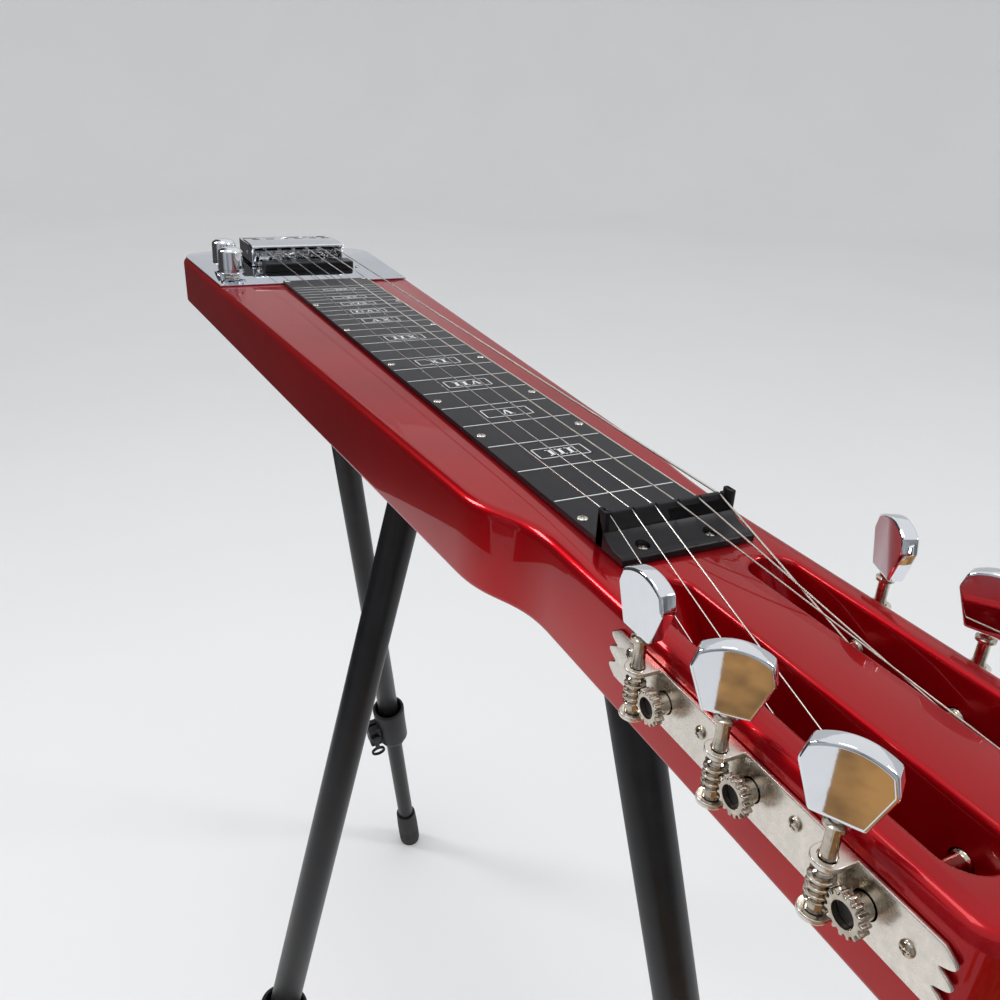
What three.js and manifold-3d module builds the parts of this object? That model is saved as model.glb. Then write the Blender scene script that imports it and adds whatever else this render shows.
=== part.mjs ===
// Six-string lap steel guitar standing on three telescoping legs.
// Millimetres. X runs from the tail to the head, Z is up, and the nut's string line is x = 0,
// the fretboard's centre line y = 0 and its playing face z = 0 while the pieces are made.
// The last lines move the whole instrument so that it stands centred over the origin.

import * as THREE from 'three';
import Module from 'manifold-3d';
import { mergeVertices } from 'three/addons/utils/BufferGeometryUtils.js';

const wasm = await Module();
wasm.setup();

// Fits and overruns
const seatGap = 0.3;
const runningGap = 0.35;
const cutOverrun = 5;
const weldDistance = 0.0001;

// Counts of sides and steps
const roundSides = 20;
const legSides = 14;
const shaftSides = 12;
const smallSides = 8;
const edgeSteps = 3;
const curveSteps = 6;
const cornerSteps = 3;
const slotCornerSteps = 3;
const hexSides = 6;
const halfTurn = Math.PI;
const fullTurn = 2 * Math.PI;

// Scale and strings
const scaleLength = 571.5;
const stringCount = 6;
const nutSpread = 47.5;
const bridgeSpread = 60.7;
const bridgeShift = -2.35;
const nutStringHeight = 9;
const bridgeStringHeight = 12.8;
const stringRadii = [0.24, 0.26, 0.29, 0.33, 0.39, 0.46];
const stringSides = 5;
const windFullTurns = 3;
const windSteps = 10;
const windGap = 0.5;
const windLiftSteps = 6;
const windBendShare = 1.5;
const windBendSteps = 3;
const windLeastGap = 0.4;
const gapSamples = 4;

// Body
const bodyDepth = 38;
const bodyTopRound = 4.5;
const bodyBottomRound = 3;
const tailReach = 50.5;
const headMargin = 16;
const headHalfWidth = 41;
const headNeckX = -6;
const shoulderX = -60;
const nearShoulderWidth = 55;
const farShoulderWidth = 45.6;
const nearTailWidth = 93;
const farTailWidth = 79.6;
const tailCorner = 30;
const headCorner = 11;

// Fretboard
const boardThickness = 2.5;
const boardNutWidth = 54.6;
const boardTailWidth = 65.8;
const boardNutX = -1.3;

// Nut
const nutHalfLength = 27.7;
const nutBackX = -1;
const nutCrest = 1.8;
const nutRidge = 0.8;
const nutBaseX = 17;
const nutLipHeight = 2.9;
const nutSlotWidth = 1.6;
const nutSlotDepth = 1;
const nutEar = 2.2;
const nutEarLength = 5;
const nutScrewX = 10.8;
const nutScrewSpacing = 28.4;
const nutScrewShift = -1.7;
const nutScrewRadius = 2.9;
const nutRampSteps = 6;

// Head slots and string posts
const slotWidth = 18.5;
const slotCentreY = 21.75;
const slotStartX = 27.5;
const slotTail = 13;
const slotDepth = 27;
const slotRamp = 20;
const slotRampSteps = 3;
const slotRimRound = 0.8;
const firstPostX = 66;
const postSpacing = 37.5;
const postsPerSide = 3;
const postDrop = 18.1;
const postRadius = 3.2;
const postWaist = 0.7;
const postIslandReach = 6;
const postHoleRadius = 0.8;

// Worm and gear of each tuner
const gearTeeth = 15;
const wormPitch = 2.2;
const gearTipRadius = 5.5;
const gearRootRadius = 4.5;
const gearThickness = 3;
const gearHubRadius = 3.2;
const gearHubDepth = 0.8;
const toothTipWidth = 0.34;
const toothRootWidth = 1.1;
const wormDistance = 8.1;
const wormCoreRadius = 2.35;
const wormCrestRadius = 3.35;
const threadRootWidth = 1.3;
const threadCrestWidth = 0.5;
const threadTurns = 4;
const threadSteps = 8;
const wormReach = 6.5;
const stemRadius = 2.1;
const journalRadius = 1.5;
const journalHead = 2.4;
const journalHeadHeight = 1;

// Tuner plates
const plateThickness = 1.2;
const plateHeight = 17.2;
const plateLead = 26;
const plateTail = 18;
const plateLobes = 3;
const plateLobeReach = 4.2;
const plateLobePoints = 12;
const tabThickness = 1.5;
const tabHalfWidth = 3.9;

// Tuner buttons
const buttonHeight = 20;
const buttonCrown = 3.6;
const buttonShoulder = 6;
const buttonWidest = 21;
const buttonTopWidth = 18.4;
const buttonFootWidth = 12.4;
const buttonThickness = 8;
const buttonBevel = 0.7;
const buttonLift = 1.2;
const buttonCrownSteps = 5;
const buttonTurns = [12, 35, 28, -52, 20, -35];

// Control plate, knobs and their pots
const controlPlateReach = 105.5;
const controlPlateThickness = 1;
const controlPlateInset = 2.4;
const knobRadius = 9.65;
const knobHeight = 19.5;
const knobLift = 2.6;
const knobDome = 4.6;
const knobDomeSteps = 5;
const knobShaftRadius = 3;
const knobShaftReach = 6;
const volumeKnobReach = 76.5;
const volumeKnobMargin = 26.5;
const toneKnobReach = 34.5;
const toneKnobMargin = 28.2;
const potBushingRadius = 4.4;
const potNutRadius = 6.6;
const potNutHeight = 1.7;
const potBodyRadius = 8.4;
const potBodyHeight = 10;
const potBushingReach = 3;
const cavityRadius = 10.5;
const cavityDepth = 18;

// Pickup
const pickupReach = 62;
const pickupDepth = 19;
const pickupNearMargin = 4.3;
const pickupFarMargin = 9;
const pickupTop = 5.3;
const pickupCorner = 3;
const pickupEdge = 1.2;

// Bridge
const bridgeFrontReach = 33.5;
const bridgeBackReach = 22.5;
const bridgeNearMargin = 9.8;
const bridgeFarMargin = 7;
const bridgeThickness = 2;
const bridgeWallHeight = 15;
const bridgeCheekLip = 2.5;
const bridgeBrow = 4;
const coverFrontReach = 38.5;
const coverBackReach = 3.5;
const coverThickness = 1.6;
const coverCrown = 0.6;
const coverSlotLength = 6;
const coverSlotWidth = 7;
const coverSlotInset = 3;
const saddleLength = 14;
const saddleSideGap = 1.4;
const saddleHeight = 6;
const saddleLegRadius = 1.5;
const saddleLegInset = 2.3;
const saddleCrest = 1.2;
const saddleGrooveDepth = 0.7;
const saddleGrooveWidth = 1.4;
const anchorHoleRadius = 1.2;
const anchorHeight = 6;

// Output jack in the far side
const jackReach = 23.5;
const jackDrop = 22;
const jackFlangeRadius = 12;
const jackFlangeThickness = 1.6;
const jackSleeveRadius = 6;
const jackSleeveLength = 28;
const jackBoreRadius = 3.4;
const jackNeckLength = 9;
const jackHollowRadius = 4.7;
const jackPocketRadius = 8.5;
const jackPocketDepth = 34;
const jackEndWall = 2;

// Legs
const floorDrop = 756;
const legSplay = THREE.MathUtils.degToRad(13.6);
const legLineY = -3;
const tailLegReach = 111.5;
const middleLegX = -233;
const headLegX = -18.5;
const tailLegHeading = 137;
const middleLegHeading = -90;
const headLegHeading = 43;
const flangeRadius = 24;
const flangeThickness = 3;
const bossRadius = 14;
const bossLength = 19;
const neckRadius = 7.5;
const neckStart = 5.6;
const upperRadius = 11;
const upperWall = 1.6;
const upperEnd = 505;
const upperPlug = 20;
const lowerRadius = 9;
const lowerWall = 1.4;
const lowerOverlap = 252;
const lowerPlug = 6;
const collarGrip = 37;
const collarSkirt = 21;
const collarMouthRadius = 17.6;
const collarBellyRadius = 17;
const collarFootRadius = 13;
const collarFunnelDepth = 12;
const collarFunnelRadius = 14.6;
const collarSlit = 3;
const lugOuter = 8;
const lugReach = 28;
const lugDrop = 20;
const lugHeight = 28;
const clampBoltRadius = 2.4;
const clampHeadRadius = 3.8;
const clampBoltReach = 21.5;
const leverHubRadius = 5;
const leverThickness = 3.4;
const leverLength = 15;
const leverNeck = 5;
const loopHalfWidth = 8;
const loopHalfHeight = 6;
const loopWall = 2.2;
const footHeight = 60;
const footRadius = 13.3;
const footLipRadius = 11.6;
const footSoleRadius = 9.5;
const footWallGap = 0.3;
const footSole = 13.5;
const footDome = 4;

// Places worked out from the sizes above
const bodyTop = -(boardThickness + seatGap);
const bodyBottom = bodyTop - bodyDepth;
const tailX = -(scaleLength + tailReach);
const postX = (number) => firstPostX + number * postSpacing;
const lastPostX = postX(postsPerSide - 1);
const slotEndX = lastPostX + slotTail;
const headEndX = slotEndX + headMargin;
const plateStartX = firstPostX - plateLead;
const plateEndX = lastPostX + plateTail;
const wormAxisY = headHalfWidth + wormReach;
const aheadOfBridge = (reach) => reach - scaleLength;
const controlPlateX = aheadOfBridge(controlPlateReach);
const boardTailX = controlPlateX + seatGap;
const pickupFrontX = aheadOfBridge(pickupReach);
const pickupNearY = bridgeShift - bridgeSpread / 2 - pickupNearMargin;
const pickupFarY = bridgeShift + bridgeSpread / 2 + pickupFarMargin;
const bridgeFrontX = aheadOfBridge(bridgeFrontReach);
const bridgeBackX = aheadOfBridge(-bridgeBackReach);
const bridgeNearY = bridgeShift - bridgeSpread / 2 - bridgeNearMargin;
const bridgeFarY = bridgeShift + bridgeSpread / 2 + bridgeFarMargin;
const coverFrontX = aheadOfBridge(coverFrontReach);
const coverBackX = aheadOfBridge(-coverBackReach);
const jackX = aheadOfBridge(jackReach);
const controlPlateTop = bodyTop + seatGap + controlPlateThickness;
const postZ = -postDrop;
const gearPitch = fullTurn / gearTeeth;
const knobPlaces = [
  { name: 'volume', x: aheadOfBridge(volumeKnobReach), y: volumeKnobMargin - nearTailWidth },
  { name: 'tone', x: aheadOfBridge(toneKnobReach), y: toneKnobMargin - nearTailWidth },
];
const legPlaces = [
  { name: 'tail', x: aheadOfBridge(tailLegReach), heading: tailLegHeading, clampSide: -1 },
  { name: 'middle', x: middleLegX, heading: middleLegHeading, clampSide: 1 },
  { name: 'head', x: headLegX, heading: headLegHeading, clampSide: -1 },
];
const collarTop = upperEnd - collarGrip;
const collarFoot = upperEnd + collarSkirt;
const lugTop = collarTop + lugDrop;
const lugFoot = lugTop + lugHeight;
const clampBoltDrop = (lugTop + lugFoot) / 2;
const bridgeDeck = controlPlateTop + seatGap + bridgeThickness;
const anchorX = bridgeBackX + bridgeThickness + seatGap;
const anchorZ = bridgeDeck + anchorHeight;
const nutStringY = (index) => (index / (stringCount - 1) - 1 / 2) * nutSpread;
const bridgeStringY = (index) => bridgeShift + (index / (stringCount - 1) - 1 / 2) * bridgeSpread;

// Materials
const finish = (color, roughness, metalness) => new THREE.MeshStandardMaterial({ color, roughness, metalness });
const redLacquer = finish(0x9c0d1a, 0.18, 0.35);
const boardBlack = finish(0x47464c, 0.6, 0);
const moulded = finish(0x17171b, 0.5, 0);
const pickupBlack = finish(0x0b0b0d, 0.35, 0);
const chrome = finish(0xc9ccd2, 0.12, 1);
const nickel = finish(0xcfc4b4, 0.28, 1);
const brass = finish(0xb59a63, 0.35, 1);
const steelString = finish(0xb9b2a8, 0.3, 1);
const blackTube = finish(0x202024, 0.38, 0.4);
const rubber = finish(0x1b1b1c, 0.85, 0);

// Solids and their joining

function solidFrom(geometry) {
  const bare = geometry.clone();
  bare.deleteAttribute('normal');
  bare.deleteAttribute('uv');
  const welded = mergeVertices(bare, weldDistance);
  const places = new Float32Array(welded.attributes.position.array);
  const corners = new Uint32Array(welded.index.array);
  if (signedVolume(places, corners) < 0) {
    for (let i = 0; i < corners.length; i += 3) {
      [corners[i + 1], corners[i + 2]] = [corners[i + 2], corners[i + 1]];
    }
  }
  return new wasm.Manifold(new wasm.Mesh({ numProp: 3, vertProperties: places, triVerts: corners }));
}

function signedVolume(places, corners) {
  const [a, b, c] = [new THREE.Vector3(), new THREE.Vector3(), new THREE.Vector3()];
  let volume = 0;
  for (let i = 0; i < corners.length; i += 3) {
    a.fromArray(places, corners[i] * 3);
    b.fromArray(places, corners[i + 1] * 3);
    c.fromArray(places, corners[i + 2] * 3);
    volume += a.dot(b.cross(c)) / 6;
  }
  return volume;
}

function geometryFrom(solid) {
  const mesh = solid.getMesh();
  const geometry = new THREE.BufferGeometry();
  geometry.setAttribute('position', new THREE.BufferAttribute(new Float32Array(mesh.vertProperties), 3));
  geometry.setIndex(new THREE.BufferAttribute(new Uint32Array(mesh.triVerts), 1));
  geometry.computeVertexNormals();
  return geometry;
}

const moved = (solid, matrix) => solidFrom(geometryFrom(solid).applyMatrix4(matrix));
const joined = (solids) => solids.reduce((sum, solid) => sum.add(solid));
const cut = (solid, tools) => tools.reduce((rest, tool) => rest.subtract(tool), solid);

function box([x0, x1], [y0, y1], [z0, z1]) {
  const geometry = new THREE.BoxGeometry(x1 - x0, y1 - y0, z1 - z0);
  geometry.translate((x0 + x1) / 2, (y0 + y1) / 2, (z0 + z1) / 2);
  return solidFrom(geometry);
}

// A round bar along 'x', 'y' or 'z' between two places on that axis, its centre at the other two.
function bar(axis, radius, from, to, [first, second], sides = shaftSides) {
  const geometry = new THREE.CylinderGeometry(radius, radius, Math.abs(to - from), sides);
  const middle = (from + to) / 2;
  if (axis === 'x') {
    geometry.rotateZ(halfTurn / 2);
    geometry.translate(middle, first, second);
  } else if (axis === 'y') {
    geometry.translate(first, middle, second);
  } else {
    geometry.rotateX(halfTurn / 2);
    geometry.translate(first, second, middle);
  }
  return solidFrom(geometry);
}

// Turns a profile of [radius, height] pairs about the Z axis.
function turned(profile, sides = roundSides) {
  const points = profile.map(([radius, height]) => new THREE.Vector2(radius, height));
  const geometry = new THREE.LatheGeometry(points, sides);
  geometry.rotateX(halfTurn / 2);
  return solidFrom(geometry);
}

function plateUp(outline, z0, z1) {
  const geometry = new THREE.ExtrudeGeometry(new THREE.Shape(outline), { depth: z1 - z0, bevelEnabled: false });
  geometry.translate(0, 0, z0);
  return solidFrom(geometry);
}

// Pushes an outline drawn in X and Z through the instrument from y0 to y1.
function plateAcross(outline, y0, y1) {
  const geometry = new THREE.ExtrudeGeometry(new THREE.Shape(outline), { depth: y1 - y0, bevelEnabled: false });
  geometry.rotateX(halfTurn / 2);
  geometry.translate(0, y1, 0);
  return solidFrom(geometry);
}

// Skins a stack of rings, each a list of Vector3 running anticlockwise seen from the last ring.
function loft(rings) {
  const count = rings[0].length;
  const geometry = new THREE.BufferGeometry();
  geometry.setFromPoints(rings.flat());
  const corners = [];
  for (let level = 0; level < rings.length - 1; level += 1) {
    for (let i = 0; i < count; i += 1) {
      const a = level * count + i;
      const b = level * count + (i + 1) % count;
      corners.push(a, b, b + count, a, b + count, a + count);
    }
  }
  for (const [level, upward] of [[0, false], [rings.length - 1, true]]) {
    const flat = rings[level].map((point) => new THREE.Vector2(point.x, point.y));
    for (const [a, b, c] of THREE.ShapeUtils.triangulateShape(flat, [])) {
      const anticlockwise = THREE.ShapeUtils.area([flat[a], flat[b], flat[c]]) > 0;
      const base = level * count;
      corners.push(base + a, ...(anticlockwise === upward ? [base + b, base + c] : [base + c, base + b]));
    }
  }
  geometry.setIndex(corners);
  return solidFrom(geometry);
}

// Moves every corner of an anticlockwise outline inward by the same distance.
function inset(outline, distance) {
  return outline.map((point, i) => {
    const before = outline[(i + outline.length - 1) % outline.length];
    const after = outline[(i + 1) % outline.length];
    const arriving = point.clone().sub(before).normalize();
    const leaving = after.clone().sub(point).normalize();
    const inward = new THREE.Vector2(-arriving.y - leaving.y, arriving.x + leaving.x).normalize();
    const spread = inward.x * -leaving.y + inward.y * leaving.x;
    return point.clone().addScaledVector(inward, distance / spread);
  });
}

const ringAt = (outline, z) => outline.map((point) => new THREE.Vector3(point.x, point.y, z));

// An upright slab whose top and bottom edges are rounded.
function roundedSlab(outline, bottom, top, bottomRound, topRound, steps = edgeSteps) {
  const rings = [];
  for (let i = 0; i <= steps && bottomRound > 0; i += 1) {
    const angle = (i / steps) * halfTurn / 2;
    rings.push(ringAt(inset(outline, bottomRound * (1 - Math.sin(angle))), bottom + bottomRound * (1 - Math.cos(angle))));
  }
  if (bottomRound === 0) rings.push(ringAt(outline, bottom));
  for (let i = 0; i <= steps; i += 1) {
    const angle = (i / steps) * halfTurn / 2;
    rings.push(ringAt(inset(outline, topRound * (1 - Math.cos(angle))), top - topRound * (1 - Math.sin(angle))));
  }
  return loft(rings);
}

function roundedRectangle(x0, x1, y0, y1, radius, steps = cornerSteps) {
  const path = new THREE.Path();
  path.moveTo(x0 + radius, y0);
  path.lineTo(x1 - radius, y0);
  path.absarc(x1 - radius, y0 + radius, radius, -halfTurn / 2, 0, false);
  path.lineTo(x1, y1 - radius);
  path.absarc(x1 - radius, y1 - radius, radius, 0, halfTurn / 2, false);
  path.lineTo(x0 + radius, y1);
  path.absarc(x0 + radius, y1 - radius, radius, halfTurn / 2, halfTurn, false);
  path.lineTo(x0, y0 + radius);
  path.absarc(x0 + radius, y0 + radius, radius, halfTurn, fullTurn - halfTurn / 2, false);
  return distinct(path.getPoints(steps));
}

// Drops points that repeat the one before them, and a last point that repeats the first.
function distinct(points) {
  const kept = points.filter((point, i) => i === 0 || point.distanceTo(points[i - 1]) > weldDistance);
  while (kept.at(-1).distanceTo(kept[0]) <= weldDistance) kept.pop();
  return kept;
}

// A path through given knots that is sampled at the knots themselves.
class KnotPath extends THREE.Curve {
  constructor(knots) {
    super();
    this.knots = knots;
  }

  getPoint(t, target = new THREE.Vector3()) {
    const place = t * (this.knots.length - 1);
    const index = Math.min(Math.floor(place), this.knots.length - 2);
    return target.lerpVectors(this.knots[index], this.knots[index + 1], place - index);
  }

  getPointAt(u, target) {
    return this.getPoint(u, target);
  }

  getTangentAt(u, target = new THREE.Vector3()) {
    const index = Math.round(u * (this.knots.length - 1));
    const after = this.knots[Math.min(index + 1, this.knots.length - 1)];
    const before = this.knots[Math.max(index - 1, 0)];
    return target.subVectors(after, before).normalize();
  }
}

function tubeThrough(knots, radius, sides) {
  const section = new THREE.Shape();
  section.absarc(0, 0, radius, 0, fullTurn, false);
  const outline = new THREE.Shape(distinct(section.getSpacedPoints(sides)));
  const settings = { steps: knots.length - 1, extrudePath: new KnotPath(knots), bevelEnabled: false };
  return solidFrom(new THREE.ExtrudeGeometry(outline, settings));
}

const instrument = new THREE.Group();
instrument.name = 'lap_steel_guitar';

function addMesh(name, solid, material, parent = instrument) {
  const mesh = new THREE.Mesh(geometryFrom(solid), material.clone());
  mesh.name = name;
  parent.add(mesh);
  return mesh;
}

// Body: a tapered slab, wider on the near side, drawn in to the head by a curved shoulder

const edgeWidth = (x, shoulder, tail) => shoulder + (tail - shoulder) * (shoulderX - x) / (shoulderX - tailX);
const nearEdge = (x) => -edgeWidth(x, nearShoulderWidth, nearTailWidth);
const farEdge = (x) => edgeWidth(x, farShoulderWidth, farTailWidth);

function bodyOutline() {
  const path = new THREE.Path();
  const shoulderLength = headNeckX - shoulderX;
  path.moveTo(headEndX, headCorner - headHalfWidth);
  path.lineTo(headEndX, headHalfWidth - headCorner);
  path.absarc(headEndX - headCorner, headHalfWidth - headCorner, headCorner, 0, halfTurn / 2, false);
  path.lineTo(headNeckX, headHalfWidth);
  path.quadraticCurveTo(headNeckX - shoulderLength / 2, headHalfWidth, shoulderX, farEdge(shoulderX));
  path.lineTo(tailX + tailCorner, farEdge(tailX + tailCorner));
  path.bezierCurveTo(tailX + tailCorner / 2, farEdge(tailX + tailCorner / 2),
    tailX, farTailWidth - tailCorner / 3, tailX, farTailWidth - tailCorner);
  path.lineTo(tailX, tailCorner - nearTailWidth);
  path.bezierCurveTo(tailX, tailCorner / 3 - nearTailWidth,
    tailX + tailCorner / 2, nearEdge(tailX + tailCorner / 2), tailX + tailCorner, nearEdge(tailX + tailCorner));
  path.lineTo(shoulderX, nearEdge(shoulderX));
  path.bezierCurveTo(shoulderX + shoulderLength / 2, nearEdge(shoulderX + shoulderLength / 2),
    shoulderX + shoulderLength / 2, -headHalfWidth, headNeckX, -headHalfWidth);
  path.lineTo(headEndX - headCorner, -headHalfWidth);
  path.absarc(headEndX - headCorner, headCorner - headHalfWidth, headCorner, -halfTurn / 2, 0, false);
  return distinct(path.getPoints(curveSteps));
}

// A long slot with round ends, its nut end sloping down like a scoop.
function headSlot(side) {
  const half = slotWidth / 2;
  const across = [side * slotCentreY - half, side * slotCentreY + half];
  const rings = [];
  for (let i = slotRampSteps; i >= 0; i -= 1) {
    const share = i / slotRampSteps;
    const start = slotStartX + slotRamp * share ** 1.3;
    const level = bodyTop - slotRimRound - (slotDepth - slotRimRound) * share;
    rings.push(ringAt(roundedRectangle(start, slotEndX, ...across, half - seatGap, slotCornerSteps), level));
  }
  const opening = roundedRectangle(slotStartX, slotEndX, ...across, half - seatGap, slotCornerSteps);
  const rim = inset(opening, -slotRimRound);
  rings.push(ringAt(rim, bodyTop));
  rings.push(ringAt(rim, bodyTop + cutOverrun));
  return loft(rings);
}

const boreRadius = postRadius + runningGap;

function buildBody() {
  const outline = bodyOutline();
  const slab = roundedSlab(outline, bodyBottom, bodyTop, bodyBottomRound, bodyTopRound);
  const cuts = [];
  for (const side of [-1, 1]) {
    cuts.push(headSlot(side));
    for (let i = 0; i < postsPerSide; i += 1) {
      const reach = [side * (postIslandReach - runningGap), side * (headHalfWidth + cutOverrun)];
      cuts.push(bar('y', boreRadius, ...reach, [postX(i), postZ]));
    }
  }
  for (const { x, y } of knobPlaces) {
    cuts.push(bar('z', cavityRadius, bodyTop - cavityDepth, bodyTop + cutOverrun, [x, y]));
  }
  const pocket = bar('y', jackPocketRadius, -jackPocketDepth, cutOverrun, [0, 0]);
  cuts.push(placedAtJack(pocket));
  addMesh('body', cut(slab, cuts), redLacquer);
  return outline;
}

const sideLean = Math.atan2(farTailWidth - farShoulderWidth, shoulderX - tailX);

// Moves a solid made round the Y axis to the jack's place, square to the far side.
function placedAtJack(solid) {
  const turn = new THREE.Matrix4().makeRotationZ(-sideLean);
  return moved(solid, turn.setPosition(jackX, farEdge(jackX), bodyTop - jackDrop));
}

// Fretboard: a thin flat panel that narrows towards the nut

function buildFretboard() {
  const corner = (x, y) => new THREE.Vector2(x, y);
  const [nutHalf, tailHalf] = [boardNutWidth / 2, boardTailWidth / 2];
  const outline = [corner(boardTailX, -tailHalf), corner(boardNutX, -nutHalf), corner(boardNutX, nutHalf), corner(boardTailX, tailHalf)];
  addMesh('fretboard', plateUp(outline, -boardThickness, 0), boardBlack);
}

// Nut: a moulded ridge with a hollow ramp towards the head, string slots, ears and screw recesses

function buildNut() {
  const base = bodyTop + seatGap;
  const top = nutStringHeight + nutSlotDepth;
  const lip = bodyTop + nutLipHeight;
  const outline = [new THREE.Vector2(nutBackX, base), new THREE.Vector2(nutBaseX, base), new THREE.Vector2(nutBaseX, lip)];
  const ramp = new THREE.QuadraticBezierCurve(new THREE.Vector2(nutBaseX - nutCrest, lip + nutCrest / 4),
    new THREE.Vector2(nutBaseX / 5, lip), new THREE.Vector2(nutRidge, top));
  outline.push(...ramp.getPoints(nutRampSteps), new THREE.Vector2(nutBackX, top));
  const ridge = plateAcross(outline, -nutHalfLength, nutHalfLength);
  const ears = [-1, 1].map((side) => box([nutBackX, nutBackX + nutEarLength],
    [side * nutHalfLength - (side > 0 ? nutEar : 0), side * nutHalfLength + (side > 0 ? 0 : nutEar)], [base, top + nutCrest]));
  const cuts = [];
  for (let i = 0; i < stringCount; i += 1) {
    const y = nutStringY(i);
    const floor = nutStringHeight - stringRadii[i] - seatGap;
    const half = nutSlotWidth / 2;
    const slope = (nutStringHeight - postZ) / firstPostX;
    const sunk = [new THREE.Vector2(-cutOverrun, floor), new THREE.Vector2(0, floor),
      new THREE.Vector2(nutBaseX, floor - nutBaseX * slope), new THREE.Vector2(nutBaseX, top + cutOverrun),
      new THREE.Vector2(-cutOverrun, top + cutOverrun)];
    cuts.push(plateAcross(sunk, y - half, y + half));
  }
  for (const side of [-1, 1]) {
    const place = [nutScrewX, nutScrewShift + side * nutScrewSpacing / 2];
    cuts.push(bar('z', nutScrewRadius, lip - nutCrest / 2, top + cutOverrun, place, smallSides));
  }
  addMesh('nut', cut(joined([ridge, ...ears]), cuts), moulded);
}

// Worm and gear tuners

// The worm as one skin: a column of points at each step round the core, each turn's tooth a step
// higher than in the column before, so that the last column meets the first one turn up.
function wormSolid(reach) {
  const tooth = [[0, -threadRootWidth / 2], [1, -threadCrestWidth / 2], [1, threadCrestWidth / 2], [0, threadRootWidth / 2]];
  const points = [];
  for (let step = 0; step < threadSteps; step += 1) {
    const angle = halfTurn + (step / threadSteps) * fullTurn;
    const add = (radius, height) => points.push(
      new THREE.Vector3(radius * Math.cos(angle), radius * Math.sin(angle), height));
    add(wormCoreRadius, -reach);
    for (let turn = 0; turn < threadTurns; turn += 1) {
      const place = turn + step / threadSteps;
      const rise = Math.min(1, place * 2, (threadTurns - place) * 2) * (wormCrestRadius - wormCoreRadius);
      const middle = (place - threadTurns / 2) * wormPitch;
      tooth.forEach(([share, offset]) => add(wormCoreRadius + rise * share, middle + offset));
    }
    add(wormCoreRadius, reach);
  }
  const count = points.length / threadSteps;
  const corners = [];
  for (let step = 0; step < threadSteps; step += 1) {
    const next = (step + 1) % threadSteps;
    const lead = next === 0 ? tooth.length : 0;
    stitch(corners, step * count, next * count, count - 1, lead);
    corners.push(0, next * count, step * count);
    corners.push(count - 1, step * count + count - 1, next * count + count - 1);
  }
  const used = corners.filter((corner, i) => new Set(corners.slice(i - i % 3, i - i % 3 + 3)).size === 3);
  const geometry = new THREE.BufferGeometry().setFromPoints(points);
  geometry.setIndex(used);
  return solidFrom(geometry);
}

// Fills the strip between two columns of points, the right one running ahead by lead points.
function stitch(corners, left, right, last, lead) {
  let [a, b] = [0, 0];
  while (a < last || b < last) {
    if (b < last && b <= a + lead) {
      corners.push(left + a, right + b, right + b + 1);
      b += 1;
    } else {
      corners.push(left + a, right + b, left + a + 1);
      a += 1;
    }
  }
}

const tabTop = plateHeight / 2;
const tabInner = tabTop - tabThickness;

function keystoneButton(turn) {
  const [foot, widest, crown] = [buttonFootWidth / 2, buttonWidest / 2, buttonTopWidth / 2];
  const shoulder = buttonHeight - buttonShoulder;
  const outline = [new THREE.Vector2(-foot, 0), new THREE.Vector2(foot, 0), new THREE.Vector2(widest, shoulder)];
  const arch = new THREE.QuadraticBezierCurve(new THREE.Vector2(crown, buttonHeight),
    new THREE.Vector2(0, buttonHeight + 2 * buttonCrown), new THREE.Vector2(-crown, buttonHeight));
  outline.push(...arch.getPoints(buttonCrownSteps), new THREE.Vector2(-widest, shoulder));
  const settings = { depth: buttonThickness - 2 * buttonBevel, bevelEnabled: true, bevelSegments: 1,
    bevelSize: buttonBevel, bevelThickness: buttonBevel, bevelOffset: -buttonBevel };
  const geometry = new THREE.ExtrudeGeometry(new THREE.Shape(outline), settings);
  geometry.translate(0, 0, buttonBevel - buttonThickness / 2);
  geometry.rotateX(halfTurn / 2);
  geometry.rotateZ(THREE.MathUtils.degToRad(turn));
  geometry.translate(0, 0, postDrop + buttonLift);
  return solidFrom(geometry);
}

// Button, stem, worm and lower journal in one piece, made round the worm's axis at gear height.
function buildTunerButton(number, side, x) {
  const halfLength = tabInner - seatGap;
  const pieces = [
    keystoneButton(buttonTurns[number]),
    bar('z', stemRadius, halfLength - cutOverrun, postDrop + buttonLift + 2 * buttonBevel, [0, 0], smallSides),
    bar('z', journalRadius, -(tabTop + seatGap + journalHeadHeight / 2), cutOverrun - halfLength, [0, 0], smallSides),
    bar('z', journalHead, -(tabTop + seatGap + journalHeadHeight), -(tabTop + seatGap), [0, 0], smallSides),
    wormSolid(halfLength),
  ];
  const mesh = addMesh(`tuner_button_${number + 1}`, joined(pieces), chrome);
  mesh.position.set(x - wormDistance, side * wormAxisY, postZ);
}

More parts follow.
